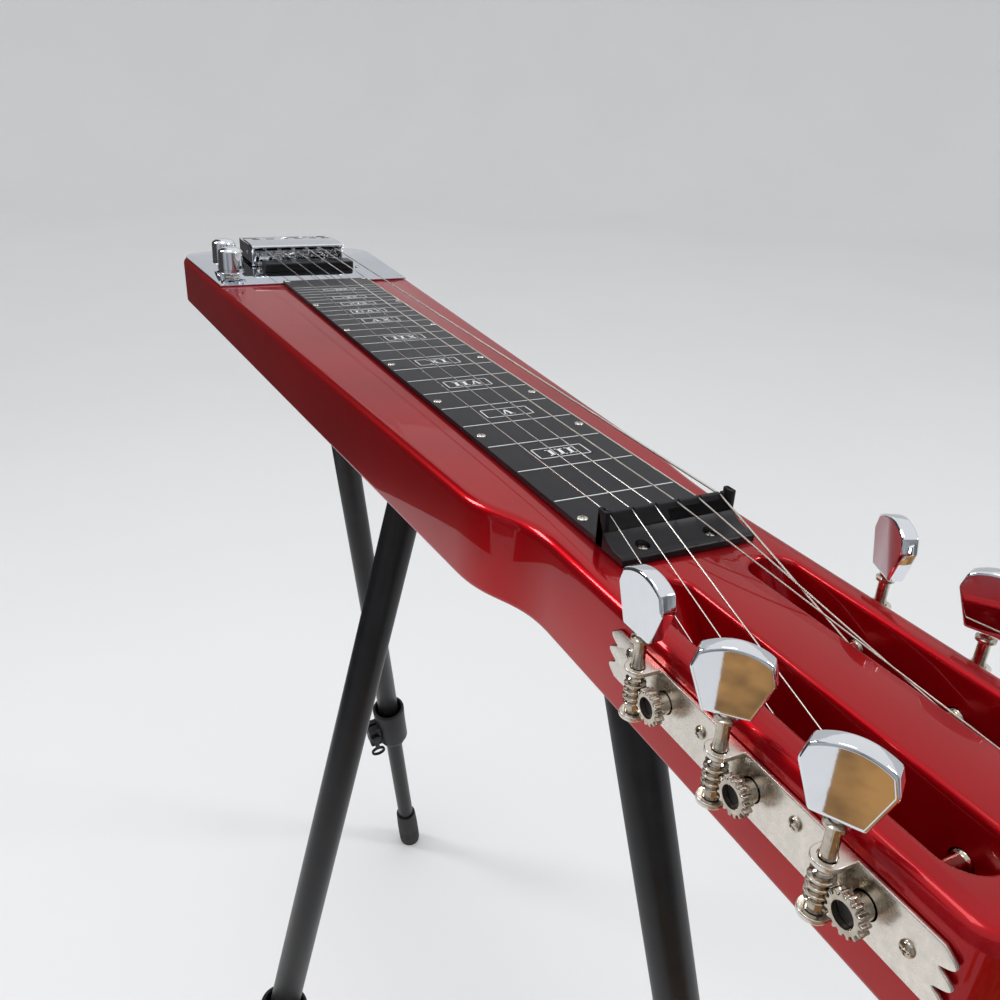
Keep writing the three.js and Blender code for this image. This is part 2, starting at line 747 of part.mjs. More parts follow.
// Gear, post and its string hole in one piece, made round the post's axis.
function buildStringPost(number, side, x) {
  const outline = [];
  for (let i = 0; i < gearTeeth; i += 1) {
    const middle = halfTurn + i * gearPitch;
    const flanks = [[gearRootRadius, -toothRootWidth / 2], [gearTipRadius, -toothTipWidth / 2],
      [gearTipRadius, toothTipWidth / 2], [gearRootRadius, toothRootWidth / 2]];
    for (const [radius, offset] of flanks) {
      const angle = middle + offset / radius;
      outline.push(new THREE.Vector2(radius * Math.cos(angle), radius * Math.sin(angle)));
    }
  }
  const half = gearThickness / 2;
  const gear = plateAcross(outline, -half, half);
  const inward = -side;
  const inner = wormAxisY - postIslandReach;
  const slotNear = wormAxisY - (slotCentreY + slotWidth / 2 - seatGap);
  const slotFar = wormAxisY - (slotCentreY - slotWidth / 2 + seatGap);
  const thick = bar('y', postRadius, 0, inward * inner, [0, 0]);
  const ring = cut(bar('y', postRadius + cutOverrun, inward * slotNear, inward * slotFar, [0, 0]),
    [bar('y', postRadius - postWaist, inward * (slotNear - cutOverrun), inward * (slotFar + cutOverrun), [0, 0])]);
  const hub = bar('y', gearHubRadius, side * (half - gearHubDepth), side * (half + cutOverrun), [0, 0]);
  const holeY = inward * (slotNear + slotFar) / 2;
  const hole = bar('z', postHoleRadius, -(postRadius + cutOverrun), postRadius + cutOverrun, [0, holeY], hexSides);
  const mesh = addMesh(`string_post_${number + 1}`, cut(joined([gear, thick]), [ring, hub, hole]), brass);
  mesh.position.set(x, side * wormAxisY, postZ);
}

// A side plate with lobed ends and a pair of folded tabs that hold each worm.
function buildTunerPlate(name, side) {
  const half = plateHeight / 2;
  const outline = [];
  for (const [x, outward] of [[plateStartX, -1], [plateEndX, 1]]) {
    for (let i = 0; i <= plateLobePoints; i += 1) {
      const share = (i / plateLobePoints - 1 / 2) * -outward;
      const reach = plateLobeReach * Math.abs(Math.cos(share * plateLobes * halfTurn)) * (1 - share ** 2);
      outline.push(new THREE.Vector2(x + outward * reach, -share * plateHeight));
    }
  }
  const innerY = headHalfWidth + seatGap;
  const outerY = innerY + plateThickness;
  const span = side > 0 ? [innerY, outerY] : [-outerY, -innerY];
  const solids = [plateAcross(outline, ...span)];
  const cuts = [];
  for (let i = 0; i < postsPerSide; i += 1) {
    const x = postX(i);
    const wormX = x - wormDistance;
    for (const end of [-1, 1]) {
      const heights = end > 0 ? [half - tabThickness, half] : [-half, tabThickness - half];
      const reach = side > 0 ? [innerY, wormAxisY] : [-wormAxisY, -innerY];
      solids.push(box([wormX - tabHalfWidth, wormX + tabHalfWidth], reach, heights));
      solids.push(bar('z', tabHalfWidth, ...heights, [wormX, side * wormAxisY], smallSides));
      const radius = (end > 0 ? stemRadius : journalRadius) + runningGap;
      cuts.push(bar('z', radius, heights[0] - tabThickness, heights[1] + tabThickness, [wormX, side * wormAxisY], smallSides));
    }
    cuts.push(bar('y', boreRadius, side * (innerY - cutOverrun), side * (outerY + cutOverrun), [x, 0]));
  }
  const mesh = addMesh(name, cut(joined(solids), cuts), nickel);
  mesh.position.z = postZ;
}

// String n goes to the post that leaves the strings uncrossed: the outer strings to the first posts.
const tunerOf = (index) => (index < postsPerSide
  ? { side: -1, x: postX(index) }
  : { side: 1, x: postX(stringCount - 1 - index) });

function buildTuners() {
  for (let i = 0; i < stringCount; i += 1) {
    const { side, x } = tunerOf(i);
    buildTunerButton(i, side, x);
    buildStringPost(i, side, x);
  }
  buildTunerPlate('tuner_plate_near', -1);
  buildTunerPlate('tuner_plate_far', 1);
}

// Control plate, knobs and pots

function buildControls(outline) {
  const base = bodyTop + seatGap;
  const top = controlPlateTop;
  const keep = box([tailX - cutOverrun, controlPlateX], [-nearTailWidth, nearTailWidth], [base - cutOverrun, top + cutOverrun]);
  const plate = plateUp(inset(outline, controlPlateInset), base, top).intersect(keep);
  const holes = knobPlaces.map(({ x, y }) => bar('z', potBushingRadius + runningGap, base - cutOverrun, top + cutOverrun, [x, y]));
  addMesh('control_plate', cut(plate, holes), chrome);
  for (const { name, x, y } of knobPlaces) {
    const knob = addMesh(`${name}_knob`, knobSolid(), chrome);
    knob.position.set(x, y, top);
    const pot = addMesh(`${name}_pot`, potSolid(), nickel);
    pot.position.set(x, y, top);
  }
}

// Made with the control plate's top at z = 0.
function knobSolid() {
  const top = knobLift + knobHeight;
  const profile = [[0, -knobShaftReach], [knobShaftRadius, -knobShaftReach], [knobShaftRadius, knobLift + knobDome / 3],
    [knobRadius - knobDome / 5, knobLift], [knobRadius, knobLift + knobDome / 5]];
  for (let i = 0; i <= knobDomeSteps; i += 1) {
    const angle = (i / knobDomeSteps) * halfTurn / 2;
    profile.push([knobRadius * Math.cos(angle), top - knobDome + knobDome * Math.sin(angle)]);
  }
  profile.at(-1)[0] = 0;
  return turned(profile);
}

function potSolid() {
  const under = -(controlPlateThickness + seatGap);
  const body = bar('z', potBodyRadius, under - potBushingReach - potBodyHeight, under - potBushingReach, [0, 0]);
  const bushing = bar('z', potBushingRadius, under - potBushingReach - seatGap, seatGap + potNutHeight, [0, 0]);
  const nut = bar('z', potNutRadius, seatGap, seatGap + potNutHeight, [0, 0], hexSides);
  const bore = bar('z', knobShaftRadius + runningGap, -(knobShaftReach + runningGap), cutOverrun, [0, 0]);
  return cut(joined([body, bushing, nut]), [bore]);
}

// Pickup

function buildPickup() {
  const outline = roundedRectangle(pickupFrontX - pickupDepth, pickupFrontX, pickupNearY, pickupFarY, pickupCorner);
  addMesh('pickup', roundedSlab(outline, controlPlateTop + seatGap, pickupTop, 0, pickupEdge), pickupBlack);
}

// Bridge: a folded base with cheeks and a rear wall, and six saddles on their height screws

function buildBridge() {
  const floor = controlPlateTop + seatGap;
  const deck = bridgeDeck;
  const wallTop = floor + bridgeWallHeight;
  const base = box([bridgeBackX, bridgeFrontX], [bridgeNearY, bridgeFarY], [floor, deck]);
  const wall = box([bridgeBackX, bridgeBackX + bridgeThickness], [bridgeNearY, bridgeFarY], [floor, wallTop]);
  const cheek = [new THREE.Vector2(bridgeBackX, floor), new THREE.Vector2(bridgeFrontX, floor),
    new THREE.Vector2(bridgeFrontX, deck + bridgeCheekLip), new THREE.Vector2(coverFrontX - bridgeBrow, wallTop - bridgeBrow),
    new THREE.Vector2(coverFrontX - coverCrown, wallTop), new THREE.Vector2(bridgeBackX, wallTop)];
  const cheeks = [plateAcross(cheek, bridgeNearY, bridgeNearY + bridgeThickness), plateAcross(cheek, bridgeFarY - bridgeThickness, bridgeFarY)];
  const anchors = [];
  for (let i = 0; i < stringCount; i += 1) {
    const place = [bridgeStringY(i), anchorZ];
    anchors.push(bar('x', anchorHoleRadius, bridgeBackX - cutOverrun, bridgeBackX + bridgeThickness + cutOverrun, place, hexSides));
  }
  addMesh('bridge_base', cut(joined([base, wall, ...cheeks]), anchors), chrome);
  buildBridgeCover(wallTop + seatGap);
  for (let i = 0; i < stringCount; i += 1) buildSaddle(i);
}

// A crowned bar across the cheeks, with a slot over each string behind the saddles.
function buildBridgeCover(bottom) {
  const top = bottom + coverThickness;
  const outline = [new THREE.Vector2(coverBackX, bottom), new THREE.Vector2(coverFrontX - coverCrown, bottom),
    new THREE.Vector2(coverFrontX, bottom + coverThickness / 2), new THREE.Vector2(coverFrontX - coverCrown, top)];
  const crown = new THREE.QuadraticBezierCurve(new THREE.Vector2(coverFrontX - coverCrown * 3, top + coverCrown / 2),
    new THREE.Vector2((coverFrontX + coverBackX) / 2, top + 2 * coverCrown), new THREE.Vector2(coverBackX, top));
  outline.push(...crown.getPoints(cornerSteps));
  const slots = [];
  for (let i = 0; i < stringCount; i += 1) {
    const y = bridgeStringY(i);
    const start = coverBackX + coverSlotInset;
    slots.push(box([start, start + coverSlotLength], [y - coverSlotWidth / 2, y + coverSlotWidth / 2],
      [bottom - cutOverrun, top + cutOverrun]));
  }
  addMesh('bridge_cover', cut(plateAcross(outline, bridgeNearY, bridgeFarY), slots), chrome);
}

// Made with the string's break point at the origin of X and Y.
function buildSaddle(index) {
  const half = bridgeSpread / (stringCount - 1) / 2 - saddleSideGap;
  const top = bridgeStringHeight - stringRadii[index] - seatGap;
  const shoulder = top - saddleCrest;
  const bottom = top - saddleHeight;
  const front = saddleLength * 2 / 3;
  const back = front - saddleLength;
  const outline = [new THREE.Vector2(back, bottom), new THREE.Vector2(front, bottom), new THREE.Vector2(front, shoulder),
    new THREE.Vector2(saddleCrest, top + saddleGrooveDepth), new THREE.Vector2(-saddleCrest, top + saddleGrooveDepth),
    new THREE.Vector2(back, bottom + saddleCrest)];
  const block = plateAcross(outline, -half, half);
  const legs = [-1, 1].map((side) => bar('z', saddleLegRadius, bridgeDeck + seatGap, bottom + saddleCrest,
    [front / 2, side * (half - saddleLegInset)], smallSides));
  const slope = (bridgeStringHeight - anchorZ) / (-scaleLength - anchorX);
  const hollow = [new THREE.Vector2(-saddleLength, top - saddleLength * slope), new THREE.Vector2(0, top),
    new THREE.Vector2(saddleLength, top), new THREE.Vector2(saddleLength, top + cutOverrun), new THREE.Vector2(-saddleLength, top + cutOverrun)];
  const groove = plateAcross(hollow, -saddleGrooveWidth / 2, saddleGrooveWidth / 2);
  const mesh = addMesh(`saddle_${index + 1}`, cut(joined([block, ...legs]), [groove]), chrome);
  mesh.position.set(-scaleLength, bridgeStringY(index), 0);
}

// Output jack in the far side

function buildJack() {
  const flange = bar('y', jackFlangeRadius, seatGap, seatGap + jackFlangeThickness, [0, 0]);
  const sleeve = bar('y', jackSleeveRadius, -jackSleeveLength, seatGap + jackFlangeThickness / 2, [0, 0]);
  const neck = bar('y', jackBoreRadius, -(jackNeckLength + cutOverrun), cutOverrun, [0, 0], roundSides);
  const hollow = bar('y', jackHollowRadius, jackEndWall - jackSleeveLength, -jackNeckLength, [0, 0], roundSides);
  addMesh('output_jack', placedAtJack(cut(joined([flange, sleeve]), [neck, hollow])), chrome);
}

// Strings: taut from the rear wall over saddle and nut, then wound on the post

const postWaistRadius = postRadius - postWaist;

// The last turn rises off the post, bends over its hole and ends straight and square to the post.
function windingKnots(index, x, side) {
  const radius = stringRadii[index];
  const windRadius = (postWaistRadius + runningGap + radius) / Math.cos(halfTurn / windSteps);
  const dropAngle = Math.atan2(postZ - nutStringHeight, x);
  const reach = Math.hypot(x, postZ - nutStringHeight);
  const touch = dropAngle + halfTurn - Math.acos(windRadius / reach);
  const sweep = touch + halfTurn / 2 + windFullTurns * fullTurn;
  const count = Math.round((sweep / fullTurn) * windSteps);
  const pitch = 2 * radius + windGap;
  const bend = windBendShare * radius;
  const endRadius = postWaistRadius + seatGap;
  const highRadius = endRadius + 2 * radius + bend;
  const knots = [];
  const add = (across, height, y) => knots.push(new THREE.Vector3(x + across, side * (slotCentreY + y), postZ + height));
  for (let i = 0; i < count; i += 1) {
    const share = i / count;
    const lift = Math.max(0, 1 - (count - i) / windLiftSteps);
    const distance = windRadius + (highRadius - windRadius) * lift;
    const angle = touch - share * sweep;
    add(distance * Math.cos(angle), distance * Math.sin(angle), pitch * (1 - share) * sweep / fullTurn);
  }
  for (let i = 0; i <= windBendSteps; i += 1) {
    const angle = (i / windBendSteps) * halfTurn / 2;
    add(bend * (1 - Math.sin(angle)), bend * (1 - Math.cos(angle)) - highRadius, 0);
  }
  add(0, -endRadius, 0);
  return knots;
}

// The least gap between the tube's own turns, on points set along its middle.
function leastGap(knots, radius) {
  const points = [];
  for (let i = 0; i < (knots.length - 1) * gapSamples; i += 1) {
    const step = Math.floor(i / gapSamples);
    points.push(new THREE.Vector3().lerpVectors(knots[step], knots[step + 1], i / gapSamples - step));
  }
  points.push(knots.at(-1));
  const apart = (windSteps / 2) * gapSamples;
  let least = Infinity;
  points.forEach((point, i) => points.slice(i + apart).forEach((other) => {
    least = Math.min(least, point.distanceTo(other) - 2 * radius);
  }));
  return least;
}

function buildString(index) {
  const radius = stringRadii[index];
  const { side, x } = tunerOf(index);
  const winding = windingKnots(index, x, side);
  const gap = leastGap(winding, radius);
  console.log(`string_${index + 1} winding: least gap to itself ${gap.toFixed(3)} mm, over ${windLeastGap}: ${gap > windLeastGap}`);
  const knots = [
    new THREE.Vector3(bridgeBackX + bridgeThickness / 2, bridgeStringY(index), anchorZ),
    new THREE.Vector3(anchorX, bridgeStringY(index), anchorZ),
    new THREE.Vector3(-scaleLength, bridgeStringY(index), bridgeStringHeight),
    new THREE.Vector3(0, nutStringY(index), nutStringHeight),
    ...winding,
  ];
  addMesh(`string_${index + 1}`, tubeThrough(knots, radius, stringSides), steelString);
}

// Telescoping legs

// Everything of one leg but its socket is made along the leg, Z pointing up to the body.
function buildLeg({ name, x, heading, clampSide }) {
  const angle = THREE.MathUtils.degToRad(heading);
  const along = new THREE.Vector3(Math.sin(legSplay) * Math.cos(angle), Math.sin(legSplay) * Math.sin(angle), -Math.cos(legSplay));
  const down = new THREE.Vector3(0, 0, -1);
  const place = new THREE.Group();
  place.position.set(x, legLineY, bodyBottom);
  instrument.add(place);
  const leg = new THREE.Group();
  leg.quaternion.setFromUnitVectors(down, along);
  place.add(leg);
  const floorAlong = (floorDrop + bodyBottom) / Math.cos(legSplay);
  addMesh(`leg_socket_${name}`, socketSolid(leg.quaternion), nickel, place);
  addMesh(`leg_upper_${name}`, upperLegSolid(), blackTube, leg);
  addMesh(`leg_lower_${name}`, lowerLegSolid(floorAlong), blackTube, leg);
  addMesh(`leg_collar_${name}`, collarSolid(clampSide), moulded, leg);
  const lever = addMesh(`leg_lever_${name}`, leverSolid(), moulded, leg);
  lever.position.set(0, clampSide * clampBoltReach, -clampBoltDrop);
  addMesh(`leg_foot_${name}`, footSolid(floorAlong, leg.quaternion, along), rubber, leg);
}

// A round flange against the body's underside with a slanted boss for the leg's neck.
function socketSolid(turn) {
  const lean = new THREE.Matrix4().makeRotationFromQuaternion(turn);
  const leaned = (solid) => moved(solid, lean);
  const flange = bar('z', flangeRadius, -(seatGap + flangeThickness), -seatGap, [0, 0], roundSides);
  const boss = leaned(bar('z', bossRadius, -bossLength, bossRadius, [0, 0], legSides));
  const bore = leaned(bar('z', neckRadius + runningGap, -(bossLength + cutOverrun), -(neckStart - runningGap), [0, 0]));
  const above = box([-flangeRadius, flangeRadius], [-flangeRadius, flangeRadius], [-seatGap, bossRadius + flangeRadius]);
  return cut(joined([flange, boss]), [above, bore]);
}

function upperLegSolid() {
  const top = -(bossLength + seatGap);
  const bore = upperRadius - upperWall;
  return turned([[0, -neckStart], [neckRadius, -neckStart], [neckRadius, top], [upperRadius, top], [upperRadius, -upperEnd],
    [bore, -upperEnd], [bore, top - upperPlug], [0, top - upperPlug]], legSides);
}

function lowerLegSolid(floorAlong) {
  const top = lowerOverlap - upperEnd;
  const end = footSole - floorAlong;
  const bore = lowerRadius - lowerWall;
  return turned([[0, end + lowerPlug], [bore, end + lowerPlug], [bore, top], [lowerRadius, top], [lowerRadius, end], [0, end]], legSides);
}

// A moulded sleeve: a funnel mouth round the upper tube, a closer bore on the lower one, and split lugs.
function collarSolid(side) {
  const tight = lowerRadius + runningGap;
  const wide = upperRadius + runningGap;
  const ledge = upperEnd + seatGap;
  const profile = [[tight, -collarFoot], [collarFootRadius, -collarFoot], [collarBellyRadius, -lugFoot], [collarBellyRadius, -lugTop],
    [collarMouthRadius, -(collarTop + 2 * runningGap)], [collarFunnelRadius, -collarTop], [wide, -(collarTop + collarFunnelDepth)],
    [wide, -ledge], [tight, -ledge], [tight, -collarFoot]];
  const sleeve = turned(profile, legSides);
  const outward = (near, far) => (side > 0 ? [near, far] : [-far, -near]);
  const lugs = box([-lugOuter, lugOuter], outward(collarFootRadius, lugReach), [-lugFoot, -lugTop]);
  const slit = box([-collarSlit / 2, collarSlit / 2], outward(tight / 2, lugReach + cutOverrun),
    [-(collarFoot + cutOverrun), cutOverrun - lugTop]);
  const bolt = bar('x', clampBoltRadius + runningGap, -(lugOuter + cutOverrun), lugOuter + cutOverrun,
    [side * clampBoltReach, -clampBoltDrop], smallSides);
  return cut(joined([sleeve, lugs]), [slit, bolt]);
}

// A clamp bolt with a lever whose end is an oval finger loop, made round the bolt's axis.
function leverSolid() {
  const near = lugOuter + runningGap;
  const far = near + leverThickness;
  const bolt = bar('x', clampBoltRadius, -far, near + leverThickness / 2, [0, 0], smallSides);
  const head = bar('x', clampHeadRadius, -far, -near, [0, 0], hexSides);
  const hub = bar('x', leverHubRadius, near, far, [0, 0]);
  const arm = box([near, far], [-leverNeck / 2, leverNeck / 2], [-(leverLength + loopWall / 2), 0]);
  const oval = (grow, overrun) => {
    const squeeze = new THREE.Matrix4().makeScale(1, loopHalfWidth + grow, loopHalfHeight + grow);
    squeeze.setPosition(0, 0, -(leverLength + loopHalfHeight));
    return moved(bar('x', 1, near - overrun, far + overrun, [0, 0]), squeeze);
  };
  return cut(joined([bolt, head, hub, arm, oval(0, 0)]), [oval(-loopWall, cutOverrun)]);
}

// A rubber cup on the end of the lower tube, worn flat where it stands on the floor.
function footSolid(floorAlong, turn, along) {
  const top = footHeight - floorAlong;
  const inner = lowerRadius + footWallGap;
  const seat = footSole - footWallGap - floorAlong;
  const profile = [[0, -(floorAlong + footDome)], [footSoleRadius, -(floorAlong + footDome / 2)], [footRadius, 2 * footDome - floorAlong],
    [footRadius, top - footSole], [footLipRadius, top], [inner, top], [inner, seat], [0, seat]];
  const end = along.clone().multiplyScalar(floorAlong);
  const reach = footRadius + cutOverrun;
  const ground = box([end.x - reach, end.x + reach], [end.y - reach, end.y + reach], [end.z - reach, end.z]);
  const level = new THREE.Matrix4().makeRotationFromQuaternion(turn.clone().invert());
  return cut(turned(profile, legSides), [moved(ground, level)]);
}

const outline = buildBody();
buildFretboard();
buildNut();
buildTuners();
buildControls(outline);
buildPickup();
buildBridge();
buildJack();
for (let i = 0; i < stringCount; i += 1) buildString(i);
legPlaces.forEach(buildLeg);

// Stands the instrument on z = 0, centred over the origin
instrument.updateMatrixWorld(true);
const bounds = new THREE.Box3().setFromObject(instrument, true);
const centre = bounds.getCenter(new THREE.Vector3());
instrument.position.set(-centre.x, -centre.y, -bounds.min.z);
instrument.updateMatrixWorld(true);

export default instrument;
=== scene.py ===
import math

import bpy
import numpy as np
from mathutils import Matrix, Vector


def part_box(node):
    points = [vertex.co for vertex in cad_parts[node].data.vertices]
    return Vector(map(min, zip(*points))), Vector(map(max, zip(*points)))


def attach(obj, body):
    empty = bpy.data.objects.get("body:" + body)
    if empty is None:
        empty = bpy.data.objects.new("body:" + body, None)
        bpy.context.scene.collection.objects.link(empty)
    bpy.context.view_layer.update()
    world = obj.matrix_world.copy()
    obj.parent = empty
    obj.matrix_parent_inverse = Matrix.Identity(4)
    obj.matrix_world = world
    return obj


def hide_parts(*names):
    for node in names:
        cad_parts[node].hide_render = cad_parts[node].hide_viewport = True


# Six-string lap steel guitar on three telescoping legs.
# Pieces are worked out in millimetres from the nut's string line: x to the head, y to the far side,
# z up from the fretboard's face. toFrame takes them to the frame's metres.

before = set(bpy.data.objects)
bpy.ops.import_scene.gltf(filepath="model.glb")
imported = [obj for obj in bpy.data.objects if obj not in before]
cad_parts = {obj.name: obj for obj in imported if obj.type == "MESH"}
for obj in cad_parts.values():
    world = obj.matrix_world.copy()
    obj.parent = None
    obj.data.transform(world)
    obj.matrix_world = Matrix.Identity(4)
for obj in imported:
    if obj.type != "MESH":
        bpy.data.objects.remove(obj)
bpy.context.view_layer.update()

board = dict(nutEndX=-1.3, tailEndX=-465.7, nutHalf=27.3, tailHalf=32.9, thickness=2.5, fretStart=1,
             fretEnd=25, fretWidth=0.55, inkHeight=0.12, shadowWidth=0.95, inkInset=0.7)
boardLow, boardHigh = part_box("fretboard")
origin = np.array([boardHigh.x * 1000 - board["nutEndX"], (boardLow.y + boardHigh.y) * 500, boardHigh.z * 1000])


def toFrame(points):
    return (np.asarray(points, float) + origin) / 1000


print("frame loaded")

# Shader maths


class Sock:
    # one output socket; arithmetic on it adds Math nodes

    def __init__(self, tree, socket):
        self.tree = tree
        self.socket = socket

    def math(self, operation, *others):
        return self.tree.node("ShaderNodeMath", dict(operation=operation), [self, *others])

    def __add__(self, other):
        return self.math("ADD", other)

    def __mul__(self, other):
        return self.math("MULTIPLY", other)


class Tree:
    # a material's node tree with its principled shader

    def __init__(self, name, **fixed):
        self.material = bpy.data.materials.new(name)
        self.material.use_nodes = True
        self.nodes = self.material.node_tree.nodes
        self.links = self.material.node_tree.links
        self.shader = self.nodes["Principled BSDF"]
        for label, value in fixed.items():
            self.shader.inputs[label.replace("_", " ")].default_value = value

    def put(self, target, value):
        if isinstance(value, Sock):
            self.links.new(value.socket, target)
        else:
            target.default_value = value

    def node(self, kind, settings=None, values=(), output=0):
        made = self.nodes.new(kind)
        for label, value in (settings or {}).items():
            if label == "stops":
                ramp = made.color_ramp
                while len(ramp.elements) < len(value):
                    ramp.elements.new(0.5)
                for element, (place, colour) in zip(ramp.elements, value):
                    element.position = place
                    element.color = colour
            else:
                setattr(made, label, value)
        pairs = values.items() if isinstance(values, dict) else enumerate(values)
        for label, value in pairs:
            self.put(made.inputs[label], value)
        return Sock(self, made.outputs[output])

    def place(self, stretch=(1, 1, 1)):  # object coordinates, stretched
        where = self.node("ShaderNodeTexCoord", output="Object")
        return self.node("ShaderNodeMapping", None, dict(Vector=where, Scale=stretch))

    def noise(self, scale, detail=4, stretch=(1, 1, 1), rough=0.5):
        return self.node("ShaderNodeTexNoise", None, dict(
            Vector=self.place(stretch), Scale=scale, Detail=detail, Roughness=rough))

    def ramp(self, value, *stops):
        return self.node("ShaderNodeValToRGB", dict(stops=[(at, (*colour, 1)) for at, colour in stops]),
                         [value])

    def level(self, value, low, high, start=0, end=1):  # spreads start..end over low..high
        return self.node("ShaderNodeMapRange", None, {
            "Value": value, "From Min": start, "From Max": end, "To Min": low, "To Max": high})

    def bump(self, height, strength, distance):
        made = self.node("ShaderNodeBump", None, dict(Height=height, Strength=strength, Distance=distance))
        self.links.new(made.socket, self.shader.inputs["Normal"])

    def feed(self, label, value):
        self.put(self.shader.inputs[label], value)


def lacquer(name):
    # candy lacquer: a metallic red ground with fine flake, cloudy depth and a clear coat with orange peel
    look = dict(ground=(0.47, 0.002, 0.008), deep=(0.29, 0.001, 0.004), edge=(0.6, 0.004, 0.012, 1),
                flakeScale=5200, peelScale=260)
    tree = Tree(name, Metallic=0.62, IOR=1.4, Specular_Tint=look["edge"],
                Coat_Weight=0.62, Coat_Roughness=0.02, Coat_IOR=1.45)
    cloud = tree.noise(9, 3)
    flake = tree.noise(look["flakeScale"], 1)
    tree.feed("Base Color", tree.ramp(cloud * 0.8 + flake * 0.25, (0.3, look["deep"]), (0.75, look["ground"])))
    dust = tree.noise(38, 6, rough=0.7)
    tree.feed("Roughness", tree.level(flake, 0.26, 0.36) + tree.level(dust, 0, 0.05, 0.62, 0.8))
    tree.bump(tree.noise(look["peelScale"], 2), 0.03, 0.0003)
    return tree.material


def metal(name, colour, rough, spread=0.06, streak=(1, 1, 1), scale=240, dark=0.82, bump=0.02):
    # plated metal: faint polishing streaks, finger smears that dull it, and tint that drifts slowly
    tree = Tree(name, Metallic=1.0)
    streaks = tree.noise(scale, 5, streak, 0.65)
    smear = tree.noise(42, 5, rough=0.7)
    shade = tuple(channel * dark for channel in colour)
    tree.feed("Base Color", tree.ramp(streaks * 0.6 + smear * 0.4, (0.3, shade), (0.62, colour)))
    tree.feed("Roughness", tree.level(streaks, rough, rough + spread) + tree.level(smear, 0, spread, 0.55, 0.8))
    tree.bump(streaks, bump, 0.0002)
    return tree.material


def plastic(name, colour, rough, grain=900, bump=0.12, worn=1.5, gloss=0.5):
    # moulded plastic: a fine sparked grain, rubbed paler on the high spots
    tree = Tree(name, Specular_IOR_Level=gloss)
    fine = tree.noise(grain, 3, rough=0.6)
    rub = tree.noise(60, 5, rough=0.7)
    pale = tuple(min(1, channel * worn + 0.004) for channel in colour)
    tree.feed("Base Color", tree.ramp(rub * 0.7 + fine * 0.3, (0.42, colour), (0.75, pale)))
    tree.feed("Roughness", tree.level(rub, rough - 0.06, rough + 0.08) + fine * 0.06)
    tree.bump(fine, bump, 0.0002)
    return tree.material


looks = dict(
    lacquer=lacquer("redLacquer"),
    chrome=metal("brightChrome", (0.82, 0.845, 0.88), 0.015, 0.02, dark=0.95, bump=0.006),
    plate=metal("polishedPlate", (0.80, 0.835, 0.91), 0.012, 0.02, (1, 12, 1), 300, 0.95, 0.004),
    nickel=metal("agedNickel", (0.86, 0.80, 0.72), 0.2, 0.14, scale=320, dark=0.72, bump=0.08),
    gear=metal("brightNickel", (0.66, 0.585, 0.49), 0.1, 0.1, scale=420, dark=0.5, bump=0.06),
    screw=metal("screwNickel", (0.82, 0.78, 0.72), 0.16, 0.1, dark=0.75),
    wire=metal("plainWire", (0.72, 0.69, 0.64), 0.2, 0.1, dark=0.8),
    fretboard=plastic("boardBlack", (0.009, 0.009, 0.011), 0.3, 1600, 0.04, 1.3, 0.22),
    moulded=plastic("mouldedBlack", (0.006, 0.006, 0.0075), 0.38, 1100, 0.2, 1.5, 0.3),
    pickup=plastic("pickupBlack", (0.004, 0.004, 0.005), 0.25, 900, 0.04, 1.3, 0.3),
    tube=plastic("tubeBlack", (0.006, 0.006, 0.007), 0.3, 1400, 0.08, 1.4, 0.35),
    rubber=plastic("footRubber", (0.012, 0.012, 0.012), 0.62, 700, 0.3, 1.8),
    ink=plastic("paleInk", (0.78, 0.79, 0.8), 0.4, 1400, 0.03, 1.0),
    # dark for the painted shadow strips beside the fret lines, and for the dark print round the numerals and
    # frames
    shadow=plastic("darkPrintAndPaintedShadow", (0.002, 0.002, 0.0025), 0.3, 1200, 0.02, 1.0),
    # dark for the knobs' black grub screws, and for painted shade in the gears' hub cups
    hollow=plastic("blackGrubAndPaintedShade", (0.004, 0.004, 0.004), 0.5, 900, 0.05),
)


def woundWire(name, pitch):
    # round-wound string: fine turns across its length, read from the piece's own lengthwise UV in millimetres
    tree = Tree(name, Metallic=1.0)
    along = tree.node("ShaderNodeSeparateXYZ", None, [tree.node("ShaderNodeUVMap", output="UV")], "X")
    turns = (along * (2 * math.pi / pitch)).math("SINE")
    smear = tree.noise(90, 4)
    tree.feed("Base Color", tree.ramp(turns * 0.35 + smear * 0.6,
                                      (0.15, (0.42, 0.38, 0.33)), (0.55, (0.78, 0.73, 0.66))))
    tree.feed("Roughness", tree.level(smear, 0.22, 0.38))
    tree.bump(turns, 0.35, 0.0001)
    return tree.material


print("materials made")

# Mesh making


def gridFaces(rows, cols, around=True, closed=False):
    # quads between neighbours of a grid; around joins its last column to the first, closed its last row
    j = np.arange(cols if around else cols - 1)
    i = np.arange(rows if closed else rows - 1)[:, None]
    near, far, following = i * cols, (i + 1) % rows * cols, (j + 1) % cols
    return np.stack([near + j, near + following, far + following, far + j], -1).reshape(-1, 4).tolist()


def newObject(name, data):
    made = bpy.data.objects.new(name, data)
    bpy.context.scene.collection.objects.link(made)
    return made


def meshObject(name, points, faces):
    mesh = bpy.data.meshes.new(name)
    mesh.from_pydata(np.asarray(points, float).tolist(), [], faces)
    return newObject(name, mesh)


def makePiece(name, points, faces, material, body, nodes=(), slot=None, angle=32, uv=None):
    # a visible piece from points in millimetres, riding on a body; edges sharper than angle stay sharp
    piece = meshObject(name, toFrame(points), faces)
    mesh = piece.data
    if uv is not None:
        layer = mesh.uv_layers.new(name="UVMap")
        loops = np.zeros(len(mesh.loops), int)
        mesh.loops.foreach_get("vertex_index", loops)
        layer.data.foreach_set("uv", np.asarray(uv, float)[loops].ravel())
    mesh.update()
    mesh.materials.append(looks[material] if isinstance(material, str) else material)
    mesh.shade_smooth()
    mesh.set_sharp_from_angle(angle=math.radians(angle))
    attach(piece, body)
    if nodes:
        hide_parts(*nodes)


